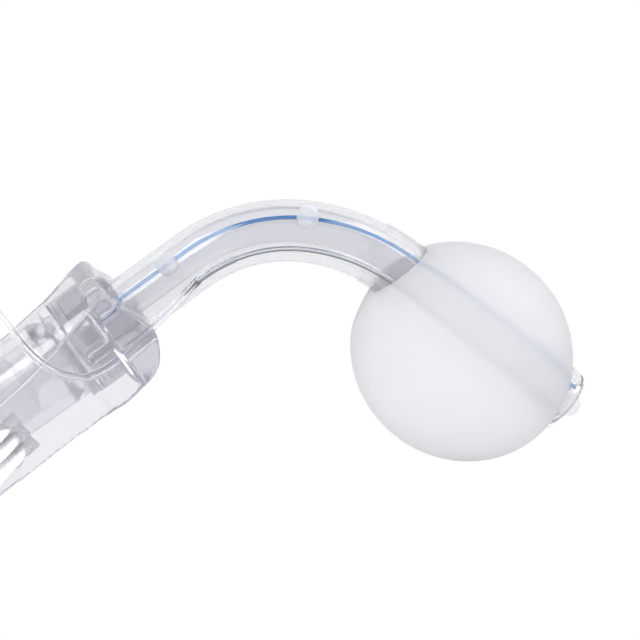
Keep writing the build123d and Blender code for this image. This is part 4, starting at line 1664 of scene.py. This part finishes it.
@dataclass(frozen=True)
class KeptNodes:
    """Nodes whose shape stays as it is, with the finish that each takes."""

    finishes: tuple[tuple[str, Finish], ...] = (
        ("obturator", Finish.OBTURATOR), ("lumen_plug", Finish.RESIN), ("coil_tie", Finish.WHITE),
        ("balloon_sleeve", Finish.BLUE), ("valve_stub", Finish.WHITE), ("valve_plunger", Finish.BLUE),
        ("valve_seal", Finish.RUBBER),
    )

    def dress(self) -> None:
        """Give each node its finish."""
        for name, finish in self.finishes:
            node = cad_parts[name]
            node.data.materials.clear()
            node.data.materials.append(finish.material())
            LOG.info("%s: kept, %s", name, finish.name)


# Light and camera

@dataclass
class Studio:
    """A white product set: pale floor, soft lamps, white surroundings."""

    azimuth: float = -9.0
    elevation: float = 13.0
    distance: float = 1000.0
    view_width: float = 640 / 5.9
    sensor: float = 36.0

    def camera(self) -> bpy.types.Object:
        """Place the camera as the photograph has it.

        Returns:
            The camera.
        """
        target = HUB.origin() + np.array([34.66, 0.0, -2.0])
        azimuth, elevation = math.radians(self.azimuth), math.radians(self.elevation)
        toward = np.array([
            math.sin(azimuth) * math.cos(elevation), -math.cos(azimuth) * math.cos(elevation), math.sin(elevation),
        ])
        data = bpy.data.cameras.new("camera")
        data.type = "PERSP"
        data.sensor_width = self.sensor
        data.lens = self.sensor * self.distance / self.view_width
        data.clip_start, data.clip_end = 0.05, 20.0
        camera = bpy.data.objects.new("camera", data)
        bpy.context.scene.collection.objects.link(camera)
        place = Vector((target + toward * self.distance) * MM)
        camera.matrix_world = Matrix.Translation(place) @ Vector(-toward).to_track_quat("-Z", "Y").to_matrix().to_4x4()
        bpy.context.scene.camera = camera
        return camera

    def floor(self) -> bpy.types.Object:
        """Lay the pale floor.

        Returns:
            The floor.
        """
        mesh = bpy.data.meshes.new("floor")
        reach = 3.0
        mesh.from_pydata([(-reach, -reach, 0), (reach, -reach, 0), (reach, reach, 0), (-reach, reach, 0)], [], [(0, 1, 2, 3)])
        floor = bpy.data.objects.new("floor", mesh)
        bpy.context.scene.collection.objects.link(floor)
        sheet = ShaderSheet("pale_floor")
        matt = sheet.node("ShaderNodeBsdfDiffuse")
        matt.inputs["Color"].default_value = (0.93, 0.93, 0.94, 1)
        white = sheet.node("ShaderNodeEmission", Strength=1.0)
        path = sheet.node("ShaderNodeLightPath")
        seen = sheet.node("ShaderNodeMath", operation="MAXIMUM")
        sheet.join(path.outputs["Is Camera Ray"], seen.inputs[0])
        sheet.join(path.outputs["Is Transmission Ray"], seen.inputs[1])
        both = sheet.node("ShaderNodeMath", operation="MAXIMUM")
        sheet.join(seen.outputs[0], both.inputs[0])
        sheet.join(path.outputs["Is Glossy Ray"], both.inputs[1])
        mix = sheet.node("ShaderNodeMixShader")
        sheet.join(both.outputs[0], mix.inputs[0])
        sheet.join(matt.outputs[0], mix.inputs[1])
        sheet.join(white.outputs[0], mix.inputs[2])
        sheet.surface(mix)
        mesh.materials.append(sheet.material)
        return floor

    def world(self) -> None:
        """Light the set from all round, white behind and greyer above."""
        world = bpy.data.worlds.new("studio")
        bpy.context.scene.world = world
        world.use_nodes = True
        tree = world.node_tree
        tree.nodes.clear()
        output = tree.nodes.new("ShaderNodeOutputWorld")
        path = tree.nodes.new("ShaderNodeLightPath")
        room = tree.nodes.new("ShaderNodeBackground")
        room.inputs["Color"].default_value = (0.95, 0.955, 1.0, 1)
        room.inputs["Strength"].default_value = 0.85
        place = tree.nodes.new("ShaderNodeTexCoord")
        split = tree.nodes.new("ShaderNodeSeparateXYZ")
        tree.links.new(place.outputs["Generated"], split.inputs[0])
        ramp = tree.nodes.new("ShaderNodeValToRGB")
        ramp.color_ramp.elements[0].position = 0.5
        ramp.color_ramp.elements[0].color = (1, 1, 1, 1)
        ramp.color_ramp.elements[1].position = 0.85
        ramp.color_ramp.elements[1].color = (0.28, 0.29, 0.36, 1)
        tree.links.new(split.outputs["Z"], ramp.inputs["Fac"])
        seen = tree.nodes.new("ShaderNodeBackground")
        seen.inputs["Strength"].default_value = 1.0
        tree.links.new(ramp.outputs[0], seen.inputs["Color"])
        backdrop = tree.nodes.new("ShaderNodeBackground")
        backdrop.inputs["Color"].default_value = (1, 1, 1, 1)
        backdrop.inputs["Strength"].default_value = 1.0
        most = tree.nodes.new("ShaderNodeMath")
        most.operation = "MAXIMUM"
        tree.links.new(path.outputs["Is Transmission Ray"], most.inputs[0])
        tree.links.new(path.outputs["Is Glossy Ray"], most.inputs[1])
        first = tree.nodes.new("ShaderNodeMixShader")
        tree.links.new(most.outputs[0], first.inputs[0])
        tree.links.new(room.outputs[0], first.inputs[1])
        tree.links.new(seen.outputs[0], first.inputs[2])
        final = tree.nodes.new("ShaderNodeMixShader")
        tree.links.new(path.outputs["Is Camera Ray"], final.inputs[0])
        tree.links.new(first.outputs[0], final.inputs[1])
        tree.links.new(backdrop.outputs[0], final.inputs[2])
        tree.links.new(final.outputs[0], output.inputs["Surface"])

    def lamps(self) -> None:
        """Hang two large soft lamps."""
        for name, place, size, energy in (
            ("key_softbox", (-0.35, -0.5, 0.7), 0.5, 5.0),
            ("fill_softbox", (0.6, -0.2, 0.5), 0.5, 2.5),
        ):
            data = bpy.data.lights.new(name, "AREA")
            data.shape = "SQUARE"
            data.size = size
            data.energy = energy
            lamp = bpy.data.objects.new(name, data)
            bpy.context.scene.collection.objects.link(lamp)
            aim = Vector((0.03, 0, 0.02)) - Vector(place)
            lamp.matrix_world = Matrix.Translation(place) @ aim.to_track_quat("-Z", "Y").to_matrix().to_4x4()

    def build(self) -> None:
        """Set up the whole studio."""
        bpy.context.scene.view_settings.view_transform = "Standard"
        self.camera()
        self.floor()
        self.world()
        self.lamps()


def main() -> None:
    """Build every sub-assembly in order and report each piece."""
    logging.basicConfig(level=logging.INFO, format="%(name)s: %(message)s")
    Studio().build()
    InflationLine().build()
    AirwayTube().build()
    ResinBead("front_bead", "bead_front", 35.3).build()
    ResinBead("rear_bead", "bead_rear", 12.0).build()
    Cuff().build()
    NeckFlange().build()
    BreathingConnector().build()
    NeckTape().build()
    ReturnSpring().build()
    KeptNodes().dress()


if __name__ == "__main__":
    main()
